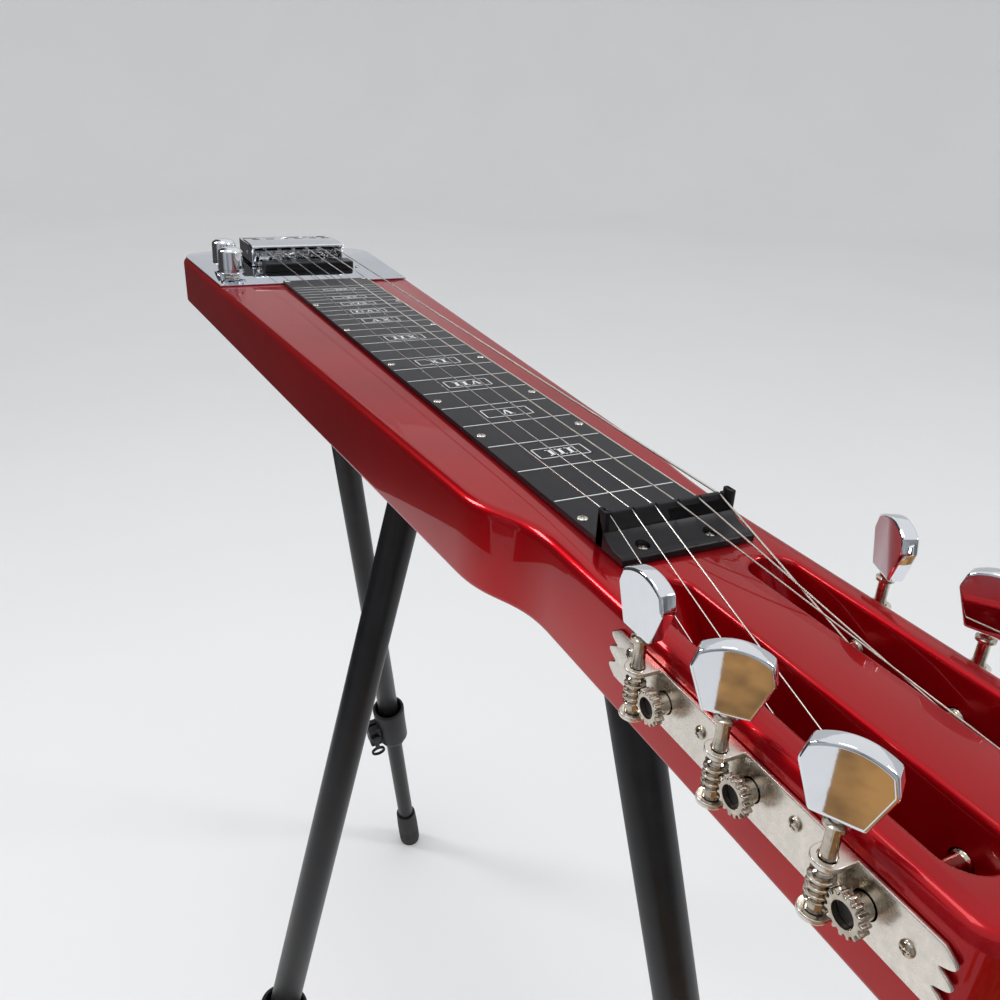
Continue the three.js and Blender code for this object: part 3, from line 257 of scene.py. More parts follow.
def outward(points, faces):
    # turns every face over when the closed shape's signed volume is negative
    points = np.asarray(points, float)
    volume = 0.0
    for face in faces:
        corner = points[face]
        volume += np.einsum("j,ij->", corner[0], np.cross(corner[1:-1], corner[2:]))
    return faces if volume > 0 else [face[::-1] for face in faces]


def swapped(part, *order):
    # a part with its axes in another order, its faces still outward
    points = part[0][:, order]
    return points, outward(points, part[1])


def about(points, matrix):
    matrix = np.asarray(matrix, float)
    return np.asarray(points, float) @ matrix[:3, :3].T + matrix[:3, 3]


def carried(part, matrix):
    return about(part[0], matrix), part[1]


def moved(part, *by):
    return part[0] + np.asarray(by, float), part[1]


def loftPart(rings):
    # a closed stack of rings: walls, then one flat face over each end
    rows, cols = len(rings), len(rings[0])
    faces = gridFaces(rows, cols)
    faces.append(list(range(cols - 1, -1, -1)))
    faces.append(list(range((rows - 1) * cols, rows * cols)))
    return np.asarray(rings, float).reshape(-1, 3), faces


def merged(parts):
    # joins (points, faces) pairs into one pair
    points, faces, count = [], [], 0
    for some, made in parts:
        points.append(np.asarray(some, float))
        faces += [[corner + count for corner in face] for face in made]
        count += len(some)
    return np.vstack(points), faces


def fullTurn(steps):
    return np.linspace(0, 2 * math.pi, steps, endpoint=False)


def quarterTurn(steps):
    return np.linspace(0, math.pi / 2, steps + 1)


def swept(radius, height, angle):
    # rows of radius and height carried through columns of angle about the z axis, or the other way about
    return np.stack([radius * np.cos(angle), radius * np.sin(angle), height * np.ones_like(angle)], -1)


def turnedPart(profile, sides=48, closed=False):
    # the profile of (radius, height) carried round the z axis; closed joins its two ends
    radius, height = np.asarray(profile, float).T[..., None]
    points, faces = loftPart(swept(radius, height, fullTurn(sides)))
    return points, outward(points, gridFaces(len(profile), sides, closed=True) if closed else faces)


def roundedProfile(radius, low, high, edge):
    # a bar's profile with rounded ends, for turnedPart
    turn = quarterTurn(4)
    bottom = np.stack([radius - edge + edge * np.sin(turn), low + edge - edge * np.cos(turn)], -1)
    top = np.stack([radius - edge + edge * np.cos(turn), high - edge + edge * np.sin(turn)], -1)
    return np.vstack([bottom, top])


def insetOutline(outline, distance):
    # each corner of an anticlockwise outline moved inward square to its two edges
    before = outline - np.roll(outline, 1, 0)
    after = np.roll(outline, -1, 0) - outline
    before /= np.linalg.norm(before, axis=1)[:, None]
    after /= np.linalg.norm(after, axis=1)[:, None]
    normal = np.stack([-before[:, 1] - after[:, 1], before[:, 0] + after[:, 0]], -1)
    normal /= np.linalg.norm(normal, axis=1)[:, None]
    spread = normal[:, 0] * -after[:, 1] + normal[:, 1] * after[:, 0]
    return outline + normal * (distance / spread)[:, None]


def atHeight(outline, height):
    return np.column_stack([outline, np.full(len(outline), height)])


def slabPart(outline, low, high, lowRound, highRound, steps=6):
    # an outline raised from low to high, its two edges rounded to quarter circles
    turn = quarterTurn(steps)
    levels = [(lowRound * (1 - math.sin(t)), low + lowRound * (1 - math.cos(t))) for t in turn]
    levels += [(highRound * (1 - math.cos(t)), high - highRound * (1 - math.sin(t))) for t in turn]
    return loftPart([atHeight(insetOutline(outline, inset), height) for inset, height in levels])


def acrossPart(outline, low, high, edge, steps=3):
    # an outline drawn in x and z pushed along y, its two end edges rounded
    return swapped(slabPart(np.asarray(outline, float), low, high, edge, edge, steps), 0, 2, 1)


def arc(centre, radius, start, end, steps):
    angle = np.linspace(math.radians(start), math.radians(end), steps + 1)
    return np.column_stack([centre[0] + radius * np.cos(angle), centre[1] + radius * np.sin(angle)])


def bezier(steps, *control):
    # de Casteljau's blend of control points
    t = np.linspace(0, 1, steps + 1)[:, None]
    level = [np.asarray(point, float) * np.ones_like(t) for point in control]
    while len(level) > 1:
        level = [a * (1 - t) + b * t for a, b in zip(level, level[1:])]
    return level[0]


def distinct(points, least=1e-4):
    points = np.asarray(points, float)
    keep = np.linalg.norm(points - np.roll(points, 1, 0), axis=1) > least
    return points[keep]


def stadium(x0, x1, y0, y1, radius, steps=10):
    # a rectangle with rounded corners, anticlockwise
    corners = ((x1 - radius, y0 + radius), (x1 - radius, y1 - radius), (x0 + radius, y1 - radius),
               (x0 + radius, y0 + radius))
    rounds = [arc(corner, radius, 90 * i - 90, 90 * i, steps) for i, corner in enumerate(corners)]
    return distinct(np.vstack(rounds))


def carved(part, cutters):
    # one closed (points, faces) shape with others cut out of it by an exact boolean, still in millimetres
    blank, tool = meshObject("blank", *part), meshObject("tool", *merged(cutters))
    hole = blank.modifiers.new("hole", "BOOLEAN")
    hole.operation, hole.solver, hole.object, hole.use_self = "DIFFERENCE", "EXACT", tool, True
    bpy.context.view_layer.update()
    mesh = bpy.data.meshes.new_from_object(blank.evaluated_get(bpy.context.evaluated_depsgraph_get()))
    points = np.zeros(len(mesh.vertices) * 3)
    mesh.vertices.foreach_get("co", points)
    faces = [list(polygon.vertices) for polygon in mesh.polygons]
    for holder in (blank, tool):
        bpy.data.objects.remove(holder)
    return points.reshape(-1, 3), faces


def barPart(axis, radius, start, end, centre=(0, 0), sides=40):
    # a plain round bar along one axis, its centre at the other two places
    order, place = dict(x=((2, 0, 1), (0, *centre)), y=((0, 2, 1), (centre[0], 0, centre[1])),
                        z=((0, 1, 2), (*centre, 0)))[axis]
    return moved(swapped(turnedPart([(radius, start), (radius, end)], sides), *order), *place)


def hexagonOutline(radius):
    return arc((0, 0), radius, 0, 300, 5)


def span(side, *reach):
    # distances from the middle as places on one side, the lower first
    return sorted(side * distance for distance in reach)


# Body

bodySize = dict(top=-2.8, bottom=-40.8, topRound=4.5, bottomRound=3, headEndX=170, headHalf=41, headNeckX=-6,
                shoulderX=-60, nearShoulder=55, farShoulder=45.6, nearTail=93, farTail=79.6, tailCorner=30,
                headCorner=11, length=792)
tailX = bodySize["headEndX"] - bodySize["length"]


def edgeHalf(x, side):
    word = "near" if side < 0 else "far"
    shoulder, tail = bodySize[f"{word}Shoulder"], bodySize[f"{word}Tail"]
    return side * (shoulder + (tail - shoulder) * (bodySize["shoulderX"] - x) / (bodySize["shoulderX"] - tailX))


def bodyOutline(steps=24):
    # anticlockwise: head end, far side, tail, near side; arcs at the corners, curves at the shoulders
    b = bodySize
    x1, half, corner, neck = b["headEndX"], b["headHalf"], b["headCorner"], b["headNeckX"]
    shoulder, bend = b["shoulderX"], b["tailCorner"]
    reach, inner = neck - shoulder, tailX + bend
    middle = shoulder + reach / 2
    return distinct(np.vstack([
        arc((x1 - corner, half - corner), corner, 0, 90, steps // 2),
        bezier(steps, (neck, half), (neck - reach / 2, half), (shoulder, edgeHalf(shoulder, 1))),
        bezier(steps, (inner, edgeHalf(inner, 1)), (tailX + bend / 2, edgeHalf(tailX + bend / 2, 1)),
               (tailX, b["farTail"] - bend / 3), (tailX, b["farTail"] - bend)),
        bezier(steps, (tailX, bend - b["nearTail"]), (tailX, bend / 3 - b["nearTail"]),
               (tailX + bend / 2, edgeHalf(tailX + bend / 2, -1)), (inner, edgeHalf(inner, -1))),
        bezier(steps, (shoulder, edgeHalf(shoulder, -1)), (middle, edgeHalf(middle, -1)), (middle, -half),
               (neck, -half)),
        arc((x1 - corner, corner - half), corner, -90, 0, steps // 2)]))


slot = dict(width=18.5, centreY=21.75, startX=27.5, endX=154, depth=27, ramp=20, rimRound=2, corner=8.95)
posts = dict(firstX=66, spacing=37.5, z=-18.1, bore=3.55, boreReach=(5.65, 46), radius=3.2, waist=0.7)
pots = dict(volume=(-495, -66.5), tone=(-537, -64.8), cavity=10.5, depth=18)
jack = dict(x=-548, z=-24.8, pocket=8.5, pocketDepth=34, flange=12, dome=9, throat=4.6, sleeve=6,
            sleeveEnd=-28, nutAcross=7.2, bore=3.4, boreEnd=-14, wideBore=4.7, wideEnd=-26)
jackLean = math.atan2(bodySize["farTail"] - bodySize["farShoulder"], bodySize["shoulderX"] - tailX)
jackPlace = Matrix.Translation((jack["x"], edgeHalf(jack["x"], 1), jack["z"]))
jackTurn = jackPlace @ Matrix.Rotation(-jackLean, 4, "Z")


def slotCutter(side):
    # stadium rings that sink along a scoop at the nut end, flared by a small round at the rim
    y0, y1 = side * slot["centreY"] - slot["width"] / 2, side * slot["centreY"] + slot["width"] / 2
    floor = slot["depth"] - slot["rimRound"]
    rings = []
    for share in np.linspace(1, 0, 14):
        ring = stadium(slot["startX"] + slot["ramp"] * share ** 1.3, slot["endX"], y0, y1, slot["corner"])
        rings.append(atHeight(ring, bodySize["top"] - slot["rimRound"] - floor * share))
    rim = stadium(slot["startX"], slot["endX"], y0, y1, slot["corner"])
    for turn in quarterTurn(4)[1:]:
        grown = insetOutline(rim, -slot["rimRound"] * (1 - math.cos(turn)))
        rings.append(atHeight(grown, bodySize["top"] - slot["rimRound"] * (1 - math.sin(turn))))
    rings.append(atHeight(insetOutline(rim, -slot["rimRound"]), bodySize["top"] + 5))
    return loftPart(rings)


bodyCuts = [slotCutter(-1), slotCutter(1)]
for side in (-1, 1):
    for number in range(3):
        place = posts["firstX"] + number * posts["spacing"], posts["z"]
        bodyCuts.append(barPart("y", posts["bore"], *span(side, *posts["boreReach"]), place))
for place in (pots["volume"], pots["tone"]):
    bodyCuts.append(barPart("z", pots["cavity"], bodySize["top"] - pots["depth"], 5, place))
bodyCuts.append(carried(barPart("y", jack["pocket"], -jack["pocketDepth"], 5), jackTurn))
bodyBlank = slabPart(bodyOutline(), bodySize["bottom"], bodySize["top"], bodySize["bottomRound"],
                     bodySize["topRound"])
makePiece("lacqueredBody", *carved(bodyBlank, bodyCuts), "lacquer", "guitar", ["body"], "lacquer_body")
print("body made")

# Fretboard with its frets and numerals


def anticlockwise(quads):
    quads = np.asarray(quads, float)
    turn = np.roll(quads, -1, 1)
    area = (quads[..., 0] * turn[..., 1] - quads[..., 1] * turn[..., 0]).sum(1)
    return np.where((area < 0)[:, None, None], quads[:, ::-1], quads)


def prismPart(quads, low, high):
    # flat four-cornered shapes raised from low to high, all at once
    quads = anticlockwise(quads)
    level = np.ones((len(quads), 4, 1))
    points = np.concatenate([np.dstack([quads, level * low]), np.dstack([quads, level * high])], 1)
    pattern = np.array([[3, 2, 1, 0], [4, 5, 6, 7], [0, 1, 5, 4], [1, 2, 6, 5], [2, 3, 7, 6], [3, 0, 4, 7]])
    faces = pattern[None] + 8 * np.arange(len(quads))[:, None, None]
    return points.reshape(-1, 3), faces.reshape(-1, 4).tolist()


def grownQuads(quads, distance):
    return np.array([insetOutline(quad, -distance) for quad in anticlockwise(quads)])


def oblong(x0, x1, y0, y1):
    return [(x0, y0), (x1, y0), (x1, y1), (x0, y1)]


def boardHalf(x):
    share = (board["nutEndX"] - x) / (board["nutEndX"] - board["tailEndX"])
    return board["nutHalf"] + (board["tailHalf"] - board["nutHalf"]) * share


def fretX(number):  # each fret shortens the string by the twelfth root of two
    return -strings["scale"] * (1 - 2 ** (-number / 12))


# letters on a unit height: the width that each takes, and its strokes as (along, up) corners
letters = dict(
    I=(0.56, [oblong(0.16, 0.4, 0, 1), oblong(0, 0.56, 0.91, 1), oblong(0, 0.56, 0, 0.09)]),
    V=(0.98, [[(0.08, 1), (0.43, 0), (0.57, 0), (0.34, 1)], [(0.76, 1), (0.47, 0), (0.56, 0), (0.87, 1)],
              oblong(0, 0.44, 0.91, 1), oblong(0.64, 0.98, 0.91, 1)]),
    X=(1.0, [[(0.08, 1), (0.64, 0), (0.91, 0), (0.35, 1)], [(0.74, 1), (0.12, 0), (0.24, 0), (0.86, 1)],
             oblong(0, 0.43, 0.91, 1), oblong(0.62, 0.97, 0.91, 1),
             oblong(0.02, 0.36, 0, 0.09), oblong(0.56, 1, 0, 0.09)]))
numeral = dict(height=0.6, gap=0.14, longest=11, spare=3.5, farY=12.5, nearY=-12, frame=0.5, dark=0.32,
               middleY=0.2, widest=20.5)
numeralAt = {3: "III", 5: "V", 7: "VII", 9: "IX", 12: "XII", 15: "XV",
             17: "XVII", 19: "XIX", 21: "XXI", 24: "XXIV"}


def numeralQuads(text, middleX, height):
    # letters run from the far side to the near one, their tops towards the head
    wide = sum(letters[letter][0] for letter in text) + numeral["gap"] * (len(text) - 1)
    squeeze = min(1, numeral["widest"] / (wide * height))
    start, quads = -wide / 2, []
    for letter in text:
        width, strokes = letters[letter]
        for stroke in strokes:
            stroke = np.array(stroke)
            quads.append(np.stack([middleX + (stroke[:, 1] - 0.5) * height,
                                   numeral["middleY"] - (start + stroke[:, 0]) * height * squeeze], -1))
        start += width + numeral["gap"]
    return quads


def frameQuads(x0, x1, y0, y1, wide):
    return [oblong(x0, x1, y0, y0 + wide), oblong(x0, x1, y1 - wide, y1),
            oblong(x0, x0 + wide, y0, y1), oblong(x1 - wide, x1, y0, y1)]


strings = dict(scale=571.5, nutSpread=47.5, bridgeSpread=60.7, bridgeShift=-2.35, nutHeight=9,
               bridgeHeight=12.8, radii=(0.24, 0.26, 0.29, 0.33, 0.39, 0.46), sides=12, fullTurns=3,
               windSteps=40, windGap=0.5, anchorZ=6.8, anchorX=(-593, -591.7), bendShare=1.5, seat=0.3,
               running=0.35, liftTurns=0.6)
boardOutline = [(board["tailEndX"], -board["tailHalf"]), (board["nutEndX"], -board["nutHalf"]),
                (board["nutEndX"], board["nutHalf"]), (board["tailEndX"], board["tailHalf"])]
makePiece("fretboardPanel", *slabPart(np.array(boardOutline), -board["thickness"], 0, 0.15, 0.3), "fretboard",
          "guitar", ["fretboard"], "fretboard_panel")

# pale holds the printed fret lines, numerals and frames; dark holds a painted shadow strip beside each fret line
# on its nut side, and a dark printed rim round each numeral and frame
pale, dark = [], []
half = board["fretWidth"] / 2
for number in range(board["fretStart"], board["fretEnd"] + 1):
    x = fretX(number)
    for low, high, stack in ((x - half, x + half, pale), (x + half, x + half + board["shadowWidth"], dark)):
        reach = boardHalf(x) - board["inkInset"]
        stack.append(oblong(low, high, -reach, reach))
for number, text in numeralAt.items():
    middle, spacing = (fretX(number - 1) + fretX(number)) / 2, fretX(number - 1) - fretX(number)
    length = min(numeral["longest"], spacing - numeral["spare"])
    quads = numeralQuads(text, middle, numeral["height"] * length)
    quads += frameQuads(middle - length / 2, middle + length / 2, numeral["nearY"], numeral["farY"],
                        numeral["frame"])
    pale += [np.array(quad) for quad in quads]
    dark += list(grownQuads(quads, numeral["dark"]))
makePiece("fretInk", *prismPart(pale, -0.1, board["inkHeight"]), "ink", "guitar", slot="fretboard_panel",
          angle=20)
# painted shadow strips beside the fret lines, with the dark print round the numerals and frames
makePiece("fretInkShade", *prismPart(dark, -0.1, board["inkHeight"] / 2), "shadow", "guitar",
          slot="fretboard_panel", angle=20)
print("fretboard made")

# Screws: a domed head with a cross recess, made once and set down in many places

screws = dict(radius=2.15, height=0.95, recessWidth=0.62, recessLength=1.35, recessDepth=0.6, sides=28)


def screwHead(radius, height, dome=0.75):
    # profile: a quarter ellipse from the rim to the crown, closed flat below
    profile = [(radius * 0.96, -0.3)]
    profile += [(radius * math.cos(t), height * (1 - dome) + height * dome * math.sin(t))
                for t in quarterTurn(6)[:-1]]
    head = turnedPart([*profile, (0.05, height)], screws["sides"])
    wide = screws["recessWidth"] * radius / screws["radius"] / 2
    reach = screws["recessLength"] * radius / screws["radius"]
    cross = [oblong(-reach, reach, -wide, wide), oblong(-wide, wide, -reach, reach)]
    return carved(head, [prismPart(cross, height - screws["recessDepth"], height + 1)])


def setScrews(name, head, places, material, slotName):
    # places are 4 by 4 matrices that carry the head from the origin, crown up
    parts = merged([carried(head, place) for place in places])
    makePiece(name, *parts, material, "guitar", slot=slotName, angle=40)


def placed(x, y, z, turn):
    return Matrix.Translation((x, y, z)) @ Matrix.Rotation(math.radians(turn), 4, "Z")


boardScrews = [(-15.4, 24.5), (-104.5, 25), (-155, 26), (-222.5, 27), (-303, 29), (-376, 30), (-461.5, 30.3)]
crossHead = screwHead(screws["radius"], screws["height"])
places = [placed(x, side * y, 0, 17 + 53 * i) for i, (x, y) in enumerate(boardScrews) for side in (-1, 1)]
setScrews("boardScrews", crossHead, places, "screw", "nickel_plate")

# Nut: a moulded ridge with a hollow ramp, ears, string slots and two screw wells

nut = dict(halfLength=27.7, backX=-1, baseX=17, lip=0.1, crest=1.8, ridge=0.8, top=10, base=-2.5, earWidth=2.2,
           earLength=5, slotWidth=1.25, screwX=10.8, screwSpacing=28.4, screwShift=-1.7, well=2.75, edge=0.5,
           cutX=17.5, cutTop=16)


def nutY(index):
    return (index / 5 - 0.5) * strings["nutSpread"]


def bridgeY(index):
    return strings["bridgeShift"] + (index / 5 - 0.5) * strings["bridgeSpread"]


def boxPart(x0, x1, y0, y1, z0, z1, edge, steps):
    return slabPart(stadium(x0, x1, y0, y1, edge, steps), z0, z1, edge, edge, steps)


toe, heel = (nut["baseX"] - nut["crest"], nut["lip"] + nut["crest"] / 4), (nut["backX"], nut["top"] - 0.4)
nutOutline = distinct(np.vstack([
    [(nut["backX"], nut["base"]), (nut["baseX"], nut["base"])],
    bezier(4, (nut["baseX"], nut["lip"] - 0.8), (nut["baseX"], nut["lip"] + 0.3), toe),
    bezier(16, toe, (nut["baseX"] / 5, nut["lip"]), (nut["ridge"], nut["top"]))[1:-1],
    bezier(4, (nut["ridge"] + 0.1, heel[1]), (nut["ridge"], nut["top"]), (nut["backX"] + 0.4, nut["top"])),
    [heel]]))
nutParts = [acrossPart(nutOutline, -nut["halfLength"], nut["halfLength"], 0.35)]
for side in (-1, 1):
    edge = span(side, nut["halfLength"], nut["halfLength"] - nut["earWidth"])
    nutParts.append(boxPart(nut["backX"], nut["backX"] + nut["earLength"], *edge, nut["base"],
                            nut["top"] + nut["crest"], nut["edge"], 4))
nutCuts = []
for index, radius in enumerate(strings["radii"]):
    y, floor = nutY(index), strings["nutHeight"] - radius
    slope = (strings["nutHeight"] - posts["z"]) / posts["firstX"]
    outline = [(-6, floor), (0, floor), (nut["cutX"], floor - nut["cutX"] * slope),
               (nut["cutX"], nut["cutTop"]), (-6, nut["cutTop"])]
    nutCuts.append(acrossPart(outline, y - nut["slotWidth"] / 2, y + nut["slotWidth"] / 2, 0.05, 1))
nutScrews = [(nut["screwX"], nut["screwShift"] + side * nut["screwSpacing"] / 2) for side in (-1, 1)]
nutCuts += [barPart("z", nut["well"], nut["lip"] - 0.9, nut["cutTop"], place, 32) for place in nutScrews]
makePiece("nutRidge", *carved(merged(nutParts), nutCuts), "moulded", "guitar", ["nut"], "moulded_black", 28)
places = [placed(x, y, nut["lip"] - 0.95, 30 + 25 * i) for i, (x, y) in enumerate(nutScrews)]
setScrews("nutScrews", crossHead, places, "screw", "nickel_plate")
print("nut made")

# Strings: a round section carried along each string's path, wound on its post


def tubePart(path, radius, sides):
    # at each point the section lies square to the path, its first direction kept square to the y axis too
    path = np.asarray(path, float)
    ahead = np.roll(path, -1, 0) - path
    ahead[-1] = path[-1] - path[-2]
    behind = path - np.roll(path, 1, 0)
    behind[0] = ahead[0]
    unit = lambda rows: rows / np.linalg.norm(rows, axis=1)[:, None]
    tangent = unit(unit(ahead) + unit(behind))
    first = unit(np.cross(tangent, (0, 1, 0)))
    second = np.cross(tangent, first)
    angle = fullTurn(sides)
    ring = np.cos(angle)[None, :, None] * first[:, None] + np.sin(angle)[None, :, None] * second[:, None]
    points, faces = loftPart(path[:, None] + radius * ring)
    along = np.concatenate([[0], np.cumsum(np.linalg.norm(np.diff(path, axis=0), axis=1))])
    uv = np.stack([np.repeat(along, sides), np.tile(angle * radius, len(path))], -1)
    return points, outward(points, faces), uv


def postPlace(index):
    # the side and x of a string's post: three along the near side, then three back along the far side
    return -1 if index < 3 else 1, posts["firstX"] + posts["spacing"] * min(index, 5 - index)


def windingPath(index):
    # a helix on the post's waist that lifts, bends over the hole and ends square to the post
    radius, (side, x), whole = strings["radii"][index], postPlace(index), 2 * math.pi
    waist = posts["radius"] - posts["waist"]
    windRadius = (waist + strings["running"] + radius) / math.cos(math.pi / 10)
    fall = posts["z"] - strings["nutHeight"]
    touch = math.atan2(fall, x) + math.pi - math.acos(windRadius / math.hypot(x, fall))
    sweep = touch + math.pi / 2 + strings["fullTurns"] * whole
    pitch, bend = 2 * radius + strings["windGap"], strings["bendShare"] * radius
    high = waist + strings["seat"] + 2 * radius + bend
    t = np.linspace(0, 1, int(sweep / whole * strings["windSteps"]))[:-1]
    lift = np.clip(1 - (1 - t) * sweep / whole / strings["liftTurns"], 0, 1)
    away = windRadius + (high - windRadius) * lift ** 2 * (3 - 2 * lift)
    angle = touch - t * sweep
    helix = np.stack([x + away * np.cos(angle), side * (slot["centreY"] + pitch * (1 - t) * sweep / whole),
                      posts["z"] + away * np.sin(angle)], -1)
    turn = quarterTurn(6)
    elbow = np.stack([x + bend * (1 - np.sin(turn)), np.full(7, side * slot["centreY"]),
                      posts["z"] + bend * (1 - np.cos(turn)) - high], -1)
    return np.vstack([helix, elbow, [(x, side * slot["centreY"], posts["z"] - waist - strings["seat"])]])


for index, radius in enumerate(strings["radii"]):
    far, near, crest = bridgeY(index), nutY(index), strings["bridgeHeight"]
    straight = [*[(x, far, strings["anchorZ"]) for x in strings["anchorX"]],
                (-strings["scale"] - 0.6, far, crest - 0.12), (-strings["scale"] + 0.6, far, crest),
                (-0.5, near, strings["nutHeight"]), (0.5, near, strings["nutHeight"] - 0.12)]
    points, faces, uv = tubePart(np.vstack([straight, windingPath(index)]), radius, strings["sides"])
    wire = woundWire(f"woundWire{index + 1}", 0.24 + 0.12 * (index - 3)) if index > 2 else "wire"
    makePiece(f"stringWire{index + 1}", points, faces, wire, "guitar", [f"string_{index + 1}"], "string_wire",
              60, uv)
print("strings made")

# Tuners: keystone buttons on their worms, gears on the string posts, and the side plates.
# turns are the degrees that each button stands round from flat

tuner = dict(axisY=47.5, wormShift=8.1, lift=20.3, turns=(1, 45, 31, -52, 20, -24), tabTop=8.6,
             tabThickness=1.5, tabHalf=3.9)
button = dict(height=16.8, crown=2.9, shoulder=5, widest=21, top=18.2, foot=12.4, thickness=5.4, bevel=0.9,
              corner=0.7)
worm = dict(pitch=2.2, core=2.35, crest=3.35, root=1.3, tip=0.5, turns=4, reach=6.8, sides=48, rows=150,
            stem=2.1, journal=1.5, journalPlay=0.35, headRadius=2.4, headHeight=1)
gear = dict(teeth=15, tip=5.5, root=4.5, thickness=3, hub=3.2, hubDepth=1.9, edge=0.35, wellPlay=0.15,
            postEnd=6, postTip=0.3, ease=0.6)


def roundedCorners(outline, radius, steps=4):
    # each corner of an outline replaced by a short curve that starts and ends a set distance from it
    outline = np.asarray(outline, float)
    before, after = np.roll(outline, 1, 0) - outline, np.roll(outline, -1, 0) - outline
    short, long = np.linalg.norm(before, axis=1), np.linalg.norm(after, axis=1)
    reach = np.minimum(radius, np.minimum(short, long) * 0.45)[:, None]
    start, end = outline + before / short[:, None] * reach, outline + after / long[:, None] * reach
    t = np.linspace(0, 1, steps + 1)[None, :, None]
    curve = start[:, None] * (1 - t) ** 2 + 2 * outline[:, None] * t * (1 - t) + end[:, None] * t ** 2
    return distinct(curve.reshape(-1, 2))


def keystonePart(turn):
    b = button
    foot, widest, top, shoulder = b["foot"] / 2, b["widest"] / 2, b["top"] / 2, b["height"] - b["shoulder"]
    arch = bezier(20, (top, b["height"]), (0, b["height"] + 2 * b["crown"]), (-top, b["height"]))
    corners = np.vstack([[(-foot, 0), (foot, 0), (widest, shoulder)], arch[::2], [(-widest, shoulder)]])
    outline = roundedCorners(corners, b["corner"], 3)
    half = b["thickness"] / 2
    inner = insetOutline(outline, b["bevel"])
    middle = inner.mean(0)
    side = [atHeight(middle + (inner - middle) * share, -half) for share in (0.5, 0.97, 1)]
    for t in quarterTurn(5)[1:]:
        height = b["bevel"] * (1 - math.cos(t)) - half
        side.append(atHeight(insetOutline(outline, b["bevel"] * (1 - math.sin(t))), height))
    part = swapped(loftPart(side + [ring * (1, 1, -1) for ring in side[::-1]]), 0, 2, 1)
    return carried(part, placed(0, 0, tuner["lift"], turn))


def wormPart():
    # radius over (angle, height): the core plus a flat-topped ridge whose middle climbs one pitch a turn
    w = worm
    angle = fullTurn(w["sides"])
    height = np.linspace(-w["reach"], w["reach"], w["rows"])[:, None]
    turns = height / w["pitch"] + w["turns"] / 2 - (angle - math.pi) / (2 * math.pi)
    offset = np.abs(turns - np.round(turns)) * w["pitch"]
    tooth = np.clip((w["root"] / 2 - offset) / (w["root"] / 2 - w["tip"] / 2), 0, 1)
    fade = np.clip(np.minimum(turns, w["turns"] - turns) * 2 + 0.5, 0, 1)
    radius = w["core"] + (w["crest"] - w["core"]) * tooth ** 0.85 * fade
    return loftPart(swept(radius, height, angle))


def shaftPart():
    # the button's stem with its collar, the worm, and the lower journal with its head
    w, low, high = worm, tuner["tabTop"], tuner["lift"]
    thin, wide = w["stem"] - 0.25, w["stem"] + 0.9
    stem = turnedPart([(w["stem"], 5), (w["stem"], low + 1.2), (thin, low + 2.2), (thin, high - 3.4),
                       (wide, high - 2.6), (wide, high - 1.7), (w["stem"], high - 1.2),
                       (w["stem"] + 0.5, high + 1.5)], 32)
    lower = turnedPart(roundedProfile(w["journal"], -low - 1, -5, 0.2), 32)
    head = turnedPart(roundedProfile(w["headRadius"], -(low + 0.3 + w["headHeight"]), -(low + 0.3), 0.3), 32)
    return merged([stem, lower, head, wormPart()])


def gearPart(side):
    # tooth flanks: root and tip radii joined by a smooth wave, steeper than a sine
    angle = fullTurn(gear["teeth"] * 12)
    wave = np.cos((angle - math.pi) * gear["teeth"])
    middle, swing = (gear["tip"] + gear["root"]) / 2, (gear["tip"] - gear["root"]) / 2
    radius = middle + swing * np.tanh(2 * wave) / math.tanh(2)
    outline = np.stack([radius * np.cos(angle), radius * np.sin(angle)], -1)
    half = gear["thickness"] / 2
    wheel = acrossPart(outline, -half, half, gear["edge"])
    cup = barPart("y", gear["hub"], *span(side, half - gear["hubDepth"], half + 2))
    return carved(wheel, [cup])


def postPart(side):
    # a bar from the gear into the head, waisted where it crosses the slot, with the string's hole
    inner, radius = tuner["axisY"] - gear["postEnd"], posts["radius"]
    waist, ease = radius - posts["waist"], gear["ease"]
    near, far = [tuner["axisY"] - (slot["centreY"] + reach) for reach in (slot["corner"], -slot["corner"])]
    blend = [(posts["waist"] * t ** 2 * (3 - 2 * t), 2 * ease * t) for t in np.linspace(0, 1, 6)]
    profile = [(radius, 0.5), *[(radius - step, near - ease + along) for step, along in blend],
               *[(waist + step, far - ease + along) for step, along in blend],
               (radius, inner - gear["postTip"]), (radius - gear["postTip"], inner)]
    points, faces = turnedPart(profile, 40)
    points = points[:, [0, 2, 1]] * (1, -side, 1)
    hole = barPart("z", 0.8, -8, 8, (0, -side * (near + far) / 2), 24)
    return carved((points, outward(points, faces)), [hole])


for i in range(6):
    side, x = postPlace(i)
    y, z = side * tuner["axisY"], posts["z"]
    post, wormPlace = (x, y, z), (x - tuner["wormShift"], y, z)
    body, turning = f"string_post_{i + 1}", f"tuner_button_{i + 1}"
    makePiece(f"tunerButton{i + 1}", *moved(keystonePart(tuner["turns"][i]), *wormPlace), "chrome", turning,
              [turning], "button_chrome", 30)
    makePiece(f"wormShaft{i + 1}", *moved(shaftPart(), *wormPlace), "gear", turning, slot="nickel_plate",
              angle=30)
    makePiece(f"stringPost{i + 1}", *moved(merged([gearPart(side), postPart(side)]), *post), "gear", body,
              [body], "nickel_plate", 34)
    # a thin dark disc on the floor of the gear's hub cup: painted shade in the recess
    floor = gear["thickness"] / 2 - gear["hubDepth"]
    well = barPart("y", gear["hub"] - gear["wellPlay"], *span(side, floor - 0.2, floor + 0.15))
    makePiece(f"gearWellPaintedShade{i + 1}", *moved(well, *post), "hollow", body, slot="nickel_plate")

plate = dict(innerY=41.3, thickness=1.2, height=17.2, startX=40, endX=159, lobes=3, lobeReach=4.2,
             lobeSteps=40, edge=0.3, bore=(38, 45))


